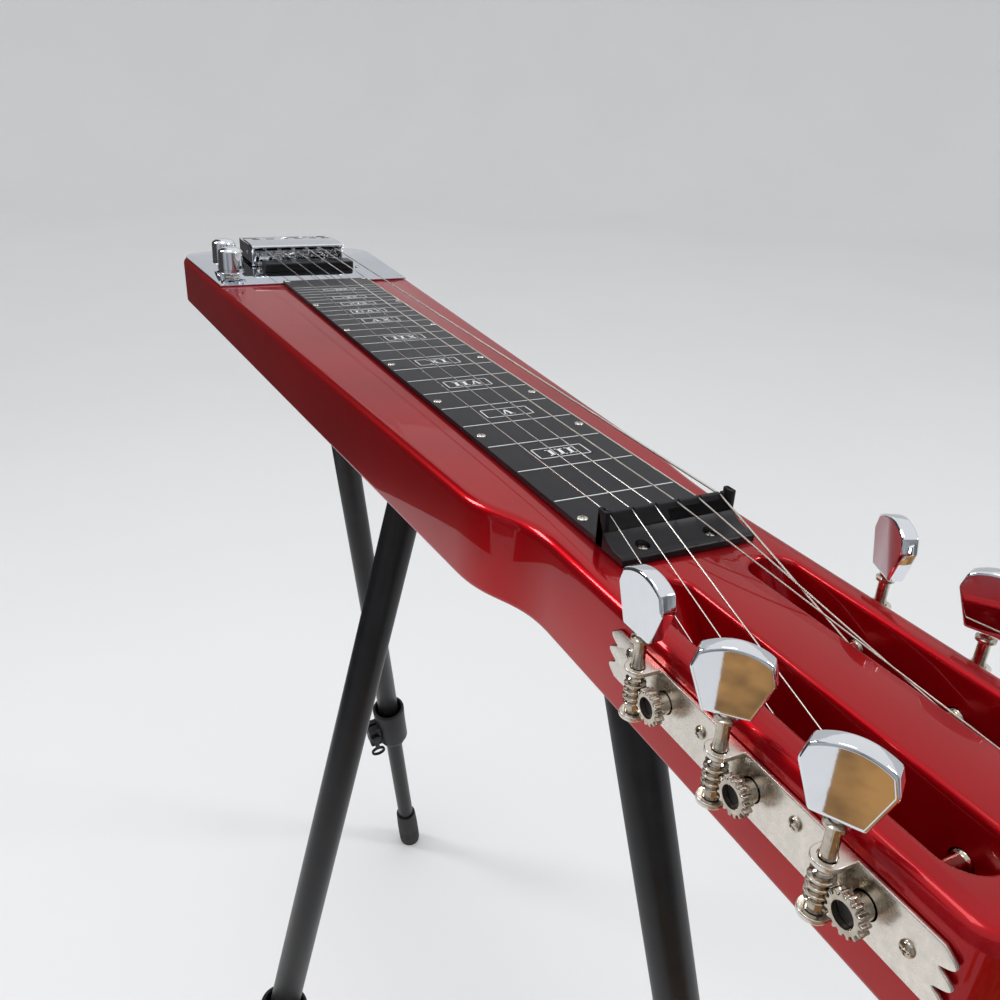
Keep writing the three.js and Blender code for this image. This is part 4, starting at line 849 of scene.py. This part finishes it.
def platePart(side):
    # lobed ends: the reach follows the absolute cosine of three half turns, shrinking to the corners
    share = np.linspace(-0.5, 0.5, plate["lobeSteps"] + 1)
    reach = plate["lobeReach"] * np.abs(np.cos(share * plate["lobes"] * math.pi)) * (1 - share ** 2)
    outline = np.vstack([np.stack([plate["endX"] + reach, share * plate["height"]], -1),
                         np.stack([plate["startX"] - reach, share * plate["height"]], -1)[::-1]])
    low, high = span(side, plate["innerY"], plate["innerY"] + plate["thickness"])
    parts, cuts = [acrossPart(distinct(outline), low, high, plate["edge"], 3)], []
    for x in [place for postSide, place in map(postPlace, range(6)) if postSide == side]:
        wormX, wormY = x - tuner["wormShift"], side * tuner["axisY"]
        for end in (-1, 1):
            z0, z1 = span(end, tuner["tabTop"], tuner["tabTop"] - tuner["tabThickness"])
            tip = arc((wormX, wormY), tuner["tabHalf"], 0, side * 180, 20)
            root = side * (plate["innerY"] + 0.1)
            ring = np.vstack([[(wormX + tuner["tabHalf"], root)], tip, [(wormX - tuner["tabHalf"], root)]])
            parts.append(slabPart(distinct(ring[::side]), z0, z1, plate["edge"], plate["edge"], 3))
            bore = (worm["stem"] if end > 0 else worm["journal"]) + worm["journalPlay"]
            cuts.append(barPart("z", bore, z0 - 1, z1 + 1, (wormX, wormY), 32))
        cuts.append(barPart("y", posts["bore"], *span(side, *plate["bore"]), (x, 0), 32))
    return moved(carved(merged(parts), cuts), 0, 0, posts["z"])


roundHead = screwHead(1.95, 1.25, 0.9)
plateScrews = [(47.3, -13.6), (82.4, -16.2), (118.8, -15.3), (152.6, -18.1)]
for side, word in ((-1, "Near"), (1, "Far")):
    makePiece(f"tunerPlate{word}", *platePart(side), "nickel", "guitar", [f"tuner_plate_{word.lower()}"],
              "nickel_plate", 34)
    out, faceY = Matrix.Rotation(-side * math.pi / 2, 4, "X"), side * (plate["innerY"] + plate["thickness"])
    heads = [Matrix.Translation((x, faceY, z)) @ out @ Matrix.Rotation(x, 4, "Z") for x, z in plateScrews]
    setScrews(f"plateScrews{word}", roundHead, heads, "gear", "nickel_plate")
print("tuners made")

# Control plate, knobs and their pots

control = dict(frontX=-466, inset=2.4, low=-2.5, high=-1.5, edge=0.3, hole=4.75,
               screws=[(-470.5, -76.2), (-470.5, 64), (-612, -60), (-612, 46)])
knob = dict(lift=2.6, radius=9.65, top=22.1, dome=4.2, shaft=3, shaftEnd=-7.5, hollow=1.5, turn=38,
            grubBore=1.3, grub=1.15, grubZ=7.4)
pot = dict(nutAcross=6.6, nutLift=0.3, nutHeight=1.7, neck=4.4, neckEnd=-6, can=8.4, canTop=4.3, canEnd=14.3,
           cap=6, capTop=14.2, capEnd=15, bore=3.35, boreEnd=7.85)


def clippedOutline(outline, frontX):
    # keeps what lies behind frontX and adds the two points where the outline crosses it
    kept = []
    for point, following in zip(outline, np.roll(outline, -1, 0)):
        if point[0] <= frontX:
            kept.append(point)
        if (point[0] <= frontX) != (following[0] <= frontX):
            share = (frontX - point[0]) / (following[0] - point[0])
            kept.append(point + (following - point) * share)
    return distinct(np.array(kept))


plateOutline = clippedOutline(insetOutline(bodyOutline(), control["inset"]), control["frontX"])
plateBlank = slabPart(plateOutline, control["low"], control["high"], 0.1, control["edge"], 3)
plateCuts = [barPart("z", control["hole"], -6, 3, pots[word], 32) for word in ("volume", "tone")]
makePiece("controlPlate", *carved(plateBlank, plateCuts), "plate", "guitar", ["control_plate"], "chrome_plate",
          30)
places = [placed(x, y, control["high"], 20 + 31 * i) for i, (x, y) in enumerate(control["screws"])]
setScrews("controlScrews", screwHead(1.9, 0.8), places, "screw", "chrome_trim")


def knobPart():
    # profile: shaft, flared skirt, a wall that leans in slightly, a rounded shoulder and a shallow dome
    k = knob
    low, radius, top, floor = k["lift"], k["radius"], k["top"], k["lift"] + k["hollow"]
    skirt = bezier(5, (radius - 1, low), (radius, low), (radius, low + 0.9))
    turn = quarterTurn(21)
    crown = np.stack([(radius - 0.45) * np.cos(turn) ** 0.8, top - k["dome"] + k["dome"] * np.sin(turn)], -1)
    crown[-1, 0] = 0.05
    groove = [(radius - 0.05, low + 2.4), (radius - 0.45, low + 2.7), (radius - 0.45, low + 3.1),
              (radius - 0.1, low + 3.4)]
    inside = [(k["shaft"], k["shaftEnd"]), (k["shaft"], floor), (radius - 2, floor), (radius - 2, low)]
    return turnedPart(np.vstack([inside, skirt, groove, crown]), 72)


def potPart():
    # a hexagon nut on the neck that carries the knob's shaft; inside the body the can and its cap
    top, p = control["high"], pot
    low, high = top + p["nutLift"], top + p["nutLift"] + p["nutHeight"]
    parts = [slabPart(roundedCorners(hexagonOutline(p["nutAcross"]), 0.5), low, high, 0.1, 0.3, 2),
             turnedPart([(p["neck"], p["neckEnd"]), (p["neck"], top + 0.4)], 40),
             turnedPart(roundedProfile(p["can"], top - p["canEnd"], top - p["canTop"], 0.6), 48),
             turnedPart(roundedProfile(p["cap"], top - p["capEnd"], top - p["capTop"], 0.2), 40)]
    return carved(merged(parts), [barPart("z", p["bore"], top - p["boreEnd"], 6)])


for word in ("volume", "tone"):
    turn, body, reach = placed(*pots[word], 0, knob["turn"]), f"{word}_knob", knob["radius"]
    shell = carved(knobPart(), [barPart("x", knob["grubBore"], reach - 2, reach + 3, (0, knob["grubZ"]), 20)])
    makePiece(f"{word}KnobShell", *carried(shell, turn), "chrome", body, [body], "chrome_trim", 28)
    grub = barPart("x", knob["grub"], reach - 2.4, reach - 1.1, (0, knob["grubZ"]), 20)
    makePiece(f"{word}KnobGrub", *carried(grub, turn), "hollow", body, slot="chrome_trim")
    makePiece(f"{word}Pot", *moved(potPart(), *pots[word], 0), "nickel", "guitar", [f"{word}_pot"],
              "nickel_plate")
print("controls made")

# Pickup and bridge

pickup = dict(backX=-528.5, frontX=-509.5, nearY=-37, farY=37, low=-1.2, high=5.3, corner=3, edge=1.3,
              screws=[(-519, -41), (-519, 42.5)])
outline = stadium(pickup["backX"], pickup["frontX"], pickup["nearY"], pickup["farY"], pickup["corner"])
makePiece("pickupCase", *slabPart(outline, pickup["low"], pickup["high"], 0.2, pickup["edge"], 8), "pickup",
          "guitar", ["pickup"], "pickup_case")

bridge = dict(frontX=-538, backX=-594, nearY=-42.5, farY=35, floor=-1.2, deck=0.8, wallTop=13.8, wall=2,
              lip=2.5, brow=4, coverFront=-533, coverBack=-575, coverLow=14.1, coverHigh=15.7, crown=0.6,
              slotStart=-572, slotLength=6, slotWidth=7, anchorBore=1.05, edge=0.25,
              screws=[(-543, -36), (-543, 28)], screwBore=1.9)
saddle = dict(half=4.67, front=9.33, back=-4.67, height=6, crest=1.2, legX=4.67, legY=2.37, legRadius=1.5,
              legBore=1.55, groove=0.75, crown=0.7, ripple=0.07, pitch=0.5, hexagon=0.85)


def bridgeBasePart():
    b = bridge
    back, front, floor, top = b["backX"], b["frontX"], b["floor"], b["wallTop"]
    cheek = roundedCorners([(back, floor), (front, floor), (front, b["deck"] + b["lip"]),
                            (b["coverFront"] - b["brow"], top - b["brow"]), (b["coverFront"] - b["crown"], top),
                            (back, top)], 2, 5)
    parts = [boxPart(back, front, b["nearY"], b["farY"], floor, b["deck"], b["edge"], 3),
             boxPart(back, back + b["wall"], b["nearY"], b["farY"], floor, top, b["edge"], 3)]
    for low in (b["nearY"], b["farY"] - b["wall"]):
        parts.append(acrossPart(cheek, low, low + b["wall"], b["edge"]))
    bores = [barPart("x", b["anchorBore"], back - 3, back + b["wall"] + 3, (bridgeY(i), strings["anchorZ"]), 24)
             for i in range(6)]
    bores += [barPart("z", b["screwBore"], floor - 1, b["deck"] + 1, place, 24) for place in b["screws"]]
    return carved(merged(parts), bores)


def bridgeCoverPart():
    b = bridge
    low, high, front, back = b["coverLow"], b["coverHigh"], b["coverFront"], b["coverBack"]
    crown = bezier(14, (front - b["crown"] * 2, high + b["crown"] / 2),
                   ((front + back) / 2, high + 2 * b["crown"]), (back + 0.4, high))
    nose = bezier(6, (front - b["crown"], low), (front + 0.2, low + 0.5), tuple(crown[0]))
    outline = distinct(np.vstack([[(back, low)], nose, crown[1:], [(back, high - 0.4)]]))
    start, end, half = b["slotStart"], b["slotStart"] + b["slotLength"], b["slotWidth"] / 2
    slots = [boxPart(start, end, y - half, y + half, low - 4, high + 5, 0.9, 4) for y in map(bridgeY, range(6))]
    return carved(acrossPart(outline, b["nearY"], b["farY"], 0.5, 4), slots)


def saddlePart(radius):
    # side view: a block whose top slopes up to the crest under the string and falls off behind it
    s, top = saddle, strings["bridgeHeight"] - radius
    low = top - s["height"]
    profile = roundedCorners([(s["back"], low), (s["front"], low), (s["front"], top - s["crest"]),
                              (s["crest"], top + s["crown"]), (-s["crest"], top + s["crown"]),
                              (s["back"], low + s["crest"])], 0.7, 4)
    block = acrossPart(profile, -s["half"], s["half"], 0.3, 3)
    channel = [(-14, top - 14 * 0.39), (0, top), (14, top), (14, top + 6), (-14, top + 6)]
    groove = acrossPart(channel, -s["groove"], s["groove"], 0.05, 1)
    sockets = [barPart("z", s["legBore"], low - 1, top + 4, (s["legX"], side * s["legY"]), 28)
               for side in (-1, 1)]
    return carved(block, [groove, *sockets])


def saddleScrewPart(radius):
    # threaded grub screws: the radius ripples with the height, a hexagon socket sunk in the top
    s, top = saddle, strings["bridgeHeight"] - radius - 0.9
    height = np.linspace(bridge["deck"] + 0.3, top, 110)
    threads = s["legRadius"] - s["ripple"] + s["ripple"] * np.cos(2 * math.pi * height / s["pitch"])
    screw = turnedPart(np.stack([threads, height], -1), 24)
    screw = carved(screw, [slabPart(hexagonOutline(s["hexagon"]), top - 1, top + 1, 0.02, 0.02, 1)])
    return merged([moved(screw, s["legX"], side * s["legY"], 0) for side in (-1, 1)])


makePiece("bridgeBase", *bridgeBasePart(), "chrome", "guitar", ["bridge_base"], "chrome_trim", 32)
makePiece("bridgeCover", *bridgeCoverPart(), "chrome", "guitar", ["bridge_cover"], "chrome_trim", 32)
for index, radius in enumerate(strings["radii"]):
    place = -strings["scale"], bridgeY(index), 0
    makePiece(f"saddleBlock{index + 1}", *moved(saddlePart(radius), *place), "chrome", "guitar",
              [f"saddle_{index + 1}"], "chrome_trim", 32)
    makePiece(f"saddleScrews{index + 1}", *moved(saddleScrewPart(radius), *place), "screw", "guitar",
              slot="chrome_trim")
places = [placed(x, y, bridge["deck"] - 0.3, y) for x, y in bridge["screws"]]
setScrews("bridgeScrews", screwHead(2.6, 1.1), places, "screw", "chrome_trim")
places = [placed(x, y, control["high"], y) for x, y in pickup["screws"]]
setScrews("pickupScrews", screwHead(1.9, 1.2), places, "screw", "chrome_trim")
print("bridge made")

# Output jack in the far side


def jackPart():
    # a dished flange, a hexagon nut and a bushing round the plug's bore, all turned about the y axis
    j = jack
    rim, dome, throat = j["flange"], j["dome"], j["throat"]
    flange = turnedPart([(rim, 0.3), (rim, 0.9), (rim - 0.6, 1.3), (dome, 1.9), (throat, 1.9), (throat, 0.3)], 64)
    sleeve = turnedPart(roundedProfile(j["sleeve"], j["sleeveEnd"], 1.2, 0.3), 48)
    ring = slabPart(roundedCorners(hexagonOutline(j["nutAcross"]), 0.6), 1.8, 1.9, 0.02, 0.02, 1)
    bores = [barPart("z", j["bore"], j["boreEnd"], 6, sides=48),
             barPart("z", j["wideBore"], j["wideEnd"], -9, sides=48)]
    return carried(swapped(carved(merged([flange, sleeve, ring]), bores), 0, 2, 1), jackTurn)


makePiece("jackPlate", *jackPart(), "plate", "guitar", ["output_jack"], "chrome_trim", 32)
print("jack made")

# Legs: a screwed flange and boss, two tubes, a clamp collar with its lever, and a rubber foot

leg = dict(splay=13.6, y=-3, bodyLow=-40.8, floor=-756, sides=56, flange=24, flangeThickness=3.5, flangeBore=7,
           bossRadius=14, bossLength=19, bossRound=0.8, neck=7.5, boreEnd=5.25, screwCircle=19.6, screwZ=3.2,
           upper=11, upperWall=1.6, upperEnd=505, lower=9, lowerTop=-253, lowerWall=1.4, footHeight=60,
           footRadius=12.5, footSole=13.5, footTop=11.6, ribs=7, ribPitch=2.1, ribWidth=0.9, ribDepth=0.5)
clamp = dict(top=468, foot=526, radius=17, lugTop=488, lugFoot=516, lugNear=12.6, lugFar=28, lugHalf=8,
             lugCorner=3.5, edge=1.1, slit=1.5, play=0.35, boltReach=21.5, boltDrop=502, boltBore=2.75)
lever = dict(bolt=2.4, boltStart=-11.5, boltEnd=10, head=3.8, headX=-11.75, headEnd=-8.35, hub=5,
             hubStart=8.35, hubEnd=11.75, loopX=10.05, loopZ=-21, loopHalf=6.9, loopTall=4.9, thickness=1.1,
             breadth=1.7, squareness=0.6, arm=(8.6, 11.5, -2.5, 2.5, -16, -2))
# each leg's x, the heading it leans towards in degrees, and its clamp's side
legPlaces = dict(tail=(-460, 137, -1), middle=(-233, -90, 1), head=(-18.5, 43, -1))
floorAlong = (leg["bodyLow"] - leg["floor"]) / math.cos(math.radians(leg["splay"]))


def legTurn(x, heading):
    splay, angle = math.radians(leg["splay"]), math.radians(heading)
    along = Vector((math.sin(splay) * math.cos(angle), math.sin(splay) * math.sin(angle), -math.cos(splay)))
    turn = Vector((0, 0, -1)).rotation_difference(along).to_matrix().to_4x4()
    return Matrix.Translation((x, leg["y"], leg["bodyLow"])) @ turn


def blockPart(x, y, half, low, high):
    return boxPart(x - half, x + half, y - half, y + half, low, high, 0.1, 1)


def socketPart(x, turn):
    # a flange that lies flat under the body, and a slanted boss cut off at the body's underside
    l = leg
    rim, thick = l["flange"], l["flangeThickness"]
    radius, low, edge = l["bossRadius"], l["bossLength"], l["bossRound"]
    flange = turnedPart([(l["flangeBore"], -0.3), (rim, -0.3), (rim, -1.9), (rim - 0.5, -2.7),
                         (rim - 1.6, -3.2), (16.5, -thick), (l["flangeBore"], -thick)], 72)
    boss = turnedPart([(radius, 8)] + [(radius - edge * (1 - math.cos(t)), -low + edge * (1 - math.sin(t)))
                                       for t in quarterTurn(4)], 64)
    bore = barPart("z", l["neck"] + 0.35, -low - 5, -l["boreEnd"], sides=48)
    above = blockPart(x, l["y"], 40, l["bodyLow"] - 0.3, l["bodyLow"] + 30)
    solid = merged([moved(flange, x, l["y"], l["bodyLow"]), carried(boss, turn)])
    return carved(solid, [above, carried(bore, turn)])


def collarPart(side):
    # a sleeve round both tubes with a rolled lip, and two lugs parted by the slit
    c, end = clamp, leg["upperEnd"] + 0.3
    top, foot, wide = -c["top"], -c["foot"], leg["upper"] + c["play"]
    tight = leg["lower"] + c["play"]
    lip = bezier(8, (17.6, top - 2.6), (17.6, top), (16.1, top), (14.8, top - 0.2))
    hem = bezier(6, (tight + 0.3, foot), (12.8, foot), (13, foot + 1.4))
    waist = bezier(8, (13.1, foot + 3), (14.6, foot + 7), (16.8, -(c["lugFoot"] + 1.5)),
                   (c["radius"], -c["lugFoot"]))
    sleeve = turnedPart(np.vstack([[(tight, foot + 0.4)], hem, waist, [(c["radius"], -c["lugTop"])], lip,
                                   [(wide, top - 12), (wide, -end), (tight, -end)]]), 64, True)
    near, far = span(side, c["lugNear"], c["lugFar"])
    corners = oblong(near, far, -c["lugFoot"], -c["lugTop"])
    corners = roundedCorners(corners, c["lugCorner"], 8)
    lugs = slabPart(corners, -c["lugHalf"], c["lugHalf"], c["edge"], c["edge"], 4)
    gap = boxPart(-c["slit"], c["slit"], *span(side, 4, 33), foot - 5, 5 - c["lugTop"], 0.3, 1)
    bolt = barPart("x", c["boltBore"], -13, 13, (side * c["boltReach"], -c["boltDrop"]), 32)
    return carved(merged([sleeve, swapped(lugs, 2, 0, 1)]), [gap, bolt])


def loopPart():
    # an oval ring whose section is a squared round: cosine and sine to a fractional power
    v, turn, section = lever, fullTurn(64)[:, None], fullTurn(20)[None, :]
    flat = np.sign(np.cos(section)) * np.abs(np.cos(section)) ** v["squareness"] * v["thickness"]
    thick = np.sign(np.sin(section)) * np.abs(np.sin(section)) ** v["squareness"] * v["breadth"]
    y = (v["loopHalf"] + flat) * np.sin(turn)
    z = v["loopZ"] - (v["loopTall"] + flat) * np.cos(turn)
    points = np.stack([v["loopX"] + thick * np.ones_like(turn), y, z], -1).reshape(-1, 3)
    return points, outward(points, gridFaces(64, 20, closed=True))


def leverPart():
    # the clamp's bolt with a hexagon head, and on its other end a hub, an arm and a finger loop
    v = lever
    bolt = barPart("x", v["bolt"], v["boltStart"], v["boltEnd"], sides=32)
    head = slabPart(roundedCorners(hexagonOutline(v["head"]), 0.4), v["headX"], v["headEnd"], 0.3, 0.2, 2)
    hub = turnedPart(roundedProfile(v["hub"], v["hubStart"], v["hubEnd"], 0.7), 40)
    arm = boxPart(*v["arm"], 0.9, 4)
    return merged([bolt, swapped(head, 2, 0, 1), swapped(hub, 2, 0, 1), arm, loopPart()])


def footPart(turn):
    # a ribbed cup over the tube's end, cut flat where it meets the floor
    l, end, radius = leg, -floorAlong, leg["footRadius"]
    top, inner, sole = end + l["footHeight"], l["lower"] + 0.3, end + l["footSole"] - 0.3
    ribs = [(radius - l["ribDepth"] * (k % 2), end + 16 + l["ribPitch"] * k + shift)
            for k in range(l["ribs"]) for shift in (0, l["ribWidth"])]
    low = bezier(8, (6, end - 3.4), (11.9, end - 2), (12.5, end + 3), (radius, end + 9))
    high = bezier(8, (radius, end + 34), (radius - 0.3, top - 10), (11.7, top - 6), (l["footTop"], top - 0.6))
    inside = [(11.1, top), (inner, top - 0.3), (inner, sole), (0.05, sole)]
    cup = turnedPart([(0.05, end - 4), *low, *ribs, *high, *inside], l["sides"])
    middle = about([(0, 0, end)], turn)[0]
    return carved(carried(cup, turn), [blockPart(middle[0], middle[1], 40, l["floor"] - 40, l["floor"])])


socketScrew = screwHead(2.6, 1.2)
for word, (x, heading, side) in legPlaces.items():
    turn = legTurn(x, heading)
    makePiece(f"{word}LegSocket", *socketPart(x, turn), "tube", "guitar", [f"leg_socket_{word}"],
              "socket_metal", 32)
    under, circle, screwZ = Matrix.Rotation(math.pi, 4, "X"), leg["screwCircle"], leg["bodyLow"] - leg["screwZ"]
    heads = [Matrix.Translation((x + circle * math.cos(t), leg["y"] + circle * math.sin(t), screwZ)) @ under
             for t in np.radians([heading + 60, heading + 180, heading + 300])]
    setScrews(f"{word}SocketScrews", socketScrew, heads, "screw", "socket_metal")
    top, end, neck, wide = -(leg["bossLength"] + 0.3), -leg["upperEnd"], leg["neck"], leg["upper"]
    bore = wide - leg["upperWall"]
    upper = turnedPart([(0.05, -5.6), (neck - 0.5, -5.6), (neck, -6.4), (neck, top), (wide - 0.6, top),
                        (wide, top - 0.8), (wide, end + 0.4), (wide - 0.3, end), (bore + 0.2, end),
                        (bore, end + 0.4), (bore, top - 20), (0.05, top - 20)], leg["sides"])
    makePiece(f"{word}LegUpper", *carried(upper, turn), "tube", "guitar", [f"leg_upper_{word}"], "leg_tube", 40)
    sole, wide, top = leg["footSole"] - floorAlong, leg["lower"], leg["lowerTop"]
    bore = wide - leg["lowerWall"]
    lower = turnedPart([(0.05, sole), (wide, sole), (wide, top - 0.3), (wide - 0.3, top), (bore, top),
                        (bore, sole + 6), (0.05, sole + 6)], leg["sides"])
    makePiece(f"{word}LegLower", *carried(lower, turn), "tube", f"lower_leg_{word}", [f"leg_lower_{word}"],
              "leg_tube", 40)
    makePiece(f"{word}LegCollar", *carried(collarPart(side), turn), "moulded", "guitar", [f"leg_collar_{word}"],
              "moulded_black", 34)
    swing = moved(leverPart(), 0, side * clamp["boltReach"], -clamp["boltDrop"])
    makePiece(f"{word}ClampLever", *carried(swing, turn), "moulded", f"clamp_lever_{word}",
              [f"leg_lever_{word}"], "moulded_black", 34)
    makePiece(f"{word}LegFoot", *footPart(turn), "rubber", f"lower_leg_{word}", [f"leg_foot_{word}"],
              "foot_rubber", 34)
print("legs made")

# Floor, backdrop, lights and camera

studio = dict(floorRadius=7, bend=2.4, wallTop=5, paint=(0.8, 0.803, 0.808), flagRadius=1.75, flagTop=2.2,
              cardHeight=0.004, darkRadius=1.35, dark=(0.05, 0.045, 0.045), grey=(0.42, 0.43, 0.45),
              warm=(0.5, 0.25, 0.07), warmNear=[(0.7, -0.757), (0.86, -1.1), (0.97, -1.03), (0.8, -0.73)],
              warmWide=[(0.733, -0.45), (1.541, -1.3), (2.4, -0.9), (2.2, 1.2), (0.75, 0.45)])


def stageMesh(name, points, faces, material):
    made = meshObject(name, points, faces)
    made.data.shade_smooth()
    made.data.materials.append(material)
    return made


def sheetMesh(name, profile, start, end, steps, material):
    # a profile of (radius, height) carried round the upright axis from one angle to another
    angle = np.radians(np.linspace(start, end, steps + 1))[:, None]
    radius, height = np.asarray(profile, float).T
    points = swept(radius, height, angle).reshape(-1, 3)
    return stageMesh(name, points, gridFaces(steps + 1, len(profile), False), material)


def paint(name, colour, rough, dark=0.985, scale=1.3, stretch=(1, 1, 1)):
    tree = Tree(name, Roughness=rough)
    shade = tuple(channel * dark for channel in colour)
    tree.feed("Base Color", tree.ramp(tree.noise(scale, 3, stretch), (0.4, shade), (0.6, colour)))
    return tree.material


# a round pale sheet: flat floor, then a quarter-circle rise into the wall
bend, turn = studio["bend"], quarterTurn(24)
radius, high = studio["floorRadius"] + bend, studio["wallTop"]
rise = np.stack([studio["floorRadius"] + bend * np.sin(turn), bend * (1 - np.cos(turn))], -1)
sheetMesh("studioFloor", np.vstack([[(0.001, 0), (1.5, 0)], rise, [(radius, high)]]), 0, 360, 96,
          paint("studioPaint", studio["paint"], 0.85))
# cards that only the gloss sees: a dark one and a grey one standing, two warm ones lying on the floor
radius, high = studio["flagRadius"], studio["flagTop"]
cards = [sheetMesh("darkCard", [(studio["darkRadius"], 0.01), (studio["darkRadius"], high)], -178, -98, 32,
                   paint("darkPaint", studio["dark"], 0.9)),
         sheetMesh("greyCard", [(radius, 0.01), (radius, high)], -98, 38, 48,
                   paint("greyPaint", studio["grey"], 0.9, 0.3, 1.6, (1, 1, 0.25)))]
warmPaint = paint("warmPaint", studio["warm"], 0.7, 0.45, 9)
for word in ("warmNear", "warmWide"):
    corners = [(*corner, studio["cardHeight"]) for corner in studio[word]]
    cards.append(stageMesh(f"{word}Card", corners, [range(len(corners))], warmPaint))
for made in cards:
    made.visible_camera = made.visible_diffuse = made.visible_shadow = made.visible_transmission = False


lights = dict(softBoxTop=dict(place=(-0.2, -0.3, 3.3), aim=(0, 0, 0.7), size=(0.9, 0.9), power=10),
              softBoxLeft=dict(place=(-0.8, -0.9, 1.65), aim=(0.1, 0, 0.75), size=(0.3, 0.5), power=7.5),
              softBoxBack=dict(place=(1.5, 2.1, 2.9), aim=(0, 0, 0.7), size=(0.6, 0.6), power=24))
for name, box in lights.items():
    light = bpy.data.lights.new(name, "AREA")
    light.shape, light.energy = "RECTANGLE", box["power"]
    light.size, light.size_y = box["size"]
    holder = newObject(name, light)
    holder.location = box["place"]
    holder.visible_camera = False
    holder.rotation_euler = (Vector(box["aim"]) - Vector(box["place"])).to_track_quat("-Z", "Y").to_euler()

world = bpy.data.worlds.new("studioAir")
bpy.context.scene.world = world
world.use_nodes = True
background = world.node_tree.nodes["Background"].inputs
background["Color"].default_value = (0.945, 0.955, 0.97, 1)
background["Strength"].default_value = 0.85
bpy.context.scene.view_settings.view_transform = "Standard"

# the photograph's camera: its place in millimetres, and what points right, down and ahead in the picture
view = dict(place=(227.05982853, -177.61868441, 137.55760585), lens=31.476, sensor=36,
            right=(0.42389988, 0.90467981, 0.04316636), down=(0.39632603, -0.14242705, -0.90699516),
            ahead=(-0.81439215, 0.40158309, -0.41892296))
camera = newObject("photoCamera", bpy.data.cameras.new("photoCamera"))
camera.data.lens, camera.data.sensor_width, camera.data.clip_start = view["lens"], view["sensor"], 0.01
right, up, back = Vector(view["right"]), -Vector(view["down"]), -Vector(view["ahead"])
turned = Matrix((right, up, back)).transposed().to_4x4()
camera.matrix_world = Matrix.Translation(toFrame(view["place"]).tolist()) @ turned
bpy.context.scene.camera = camera
bpy.context.view_layer.update()

print("stage and camera made")
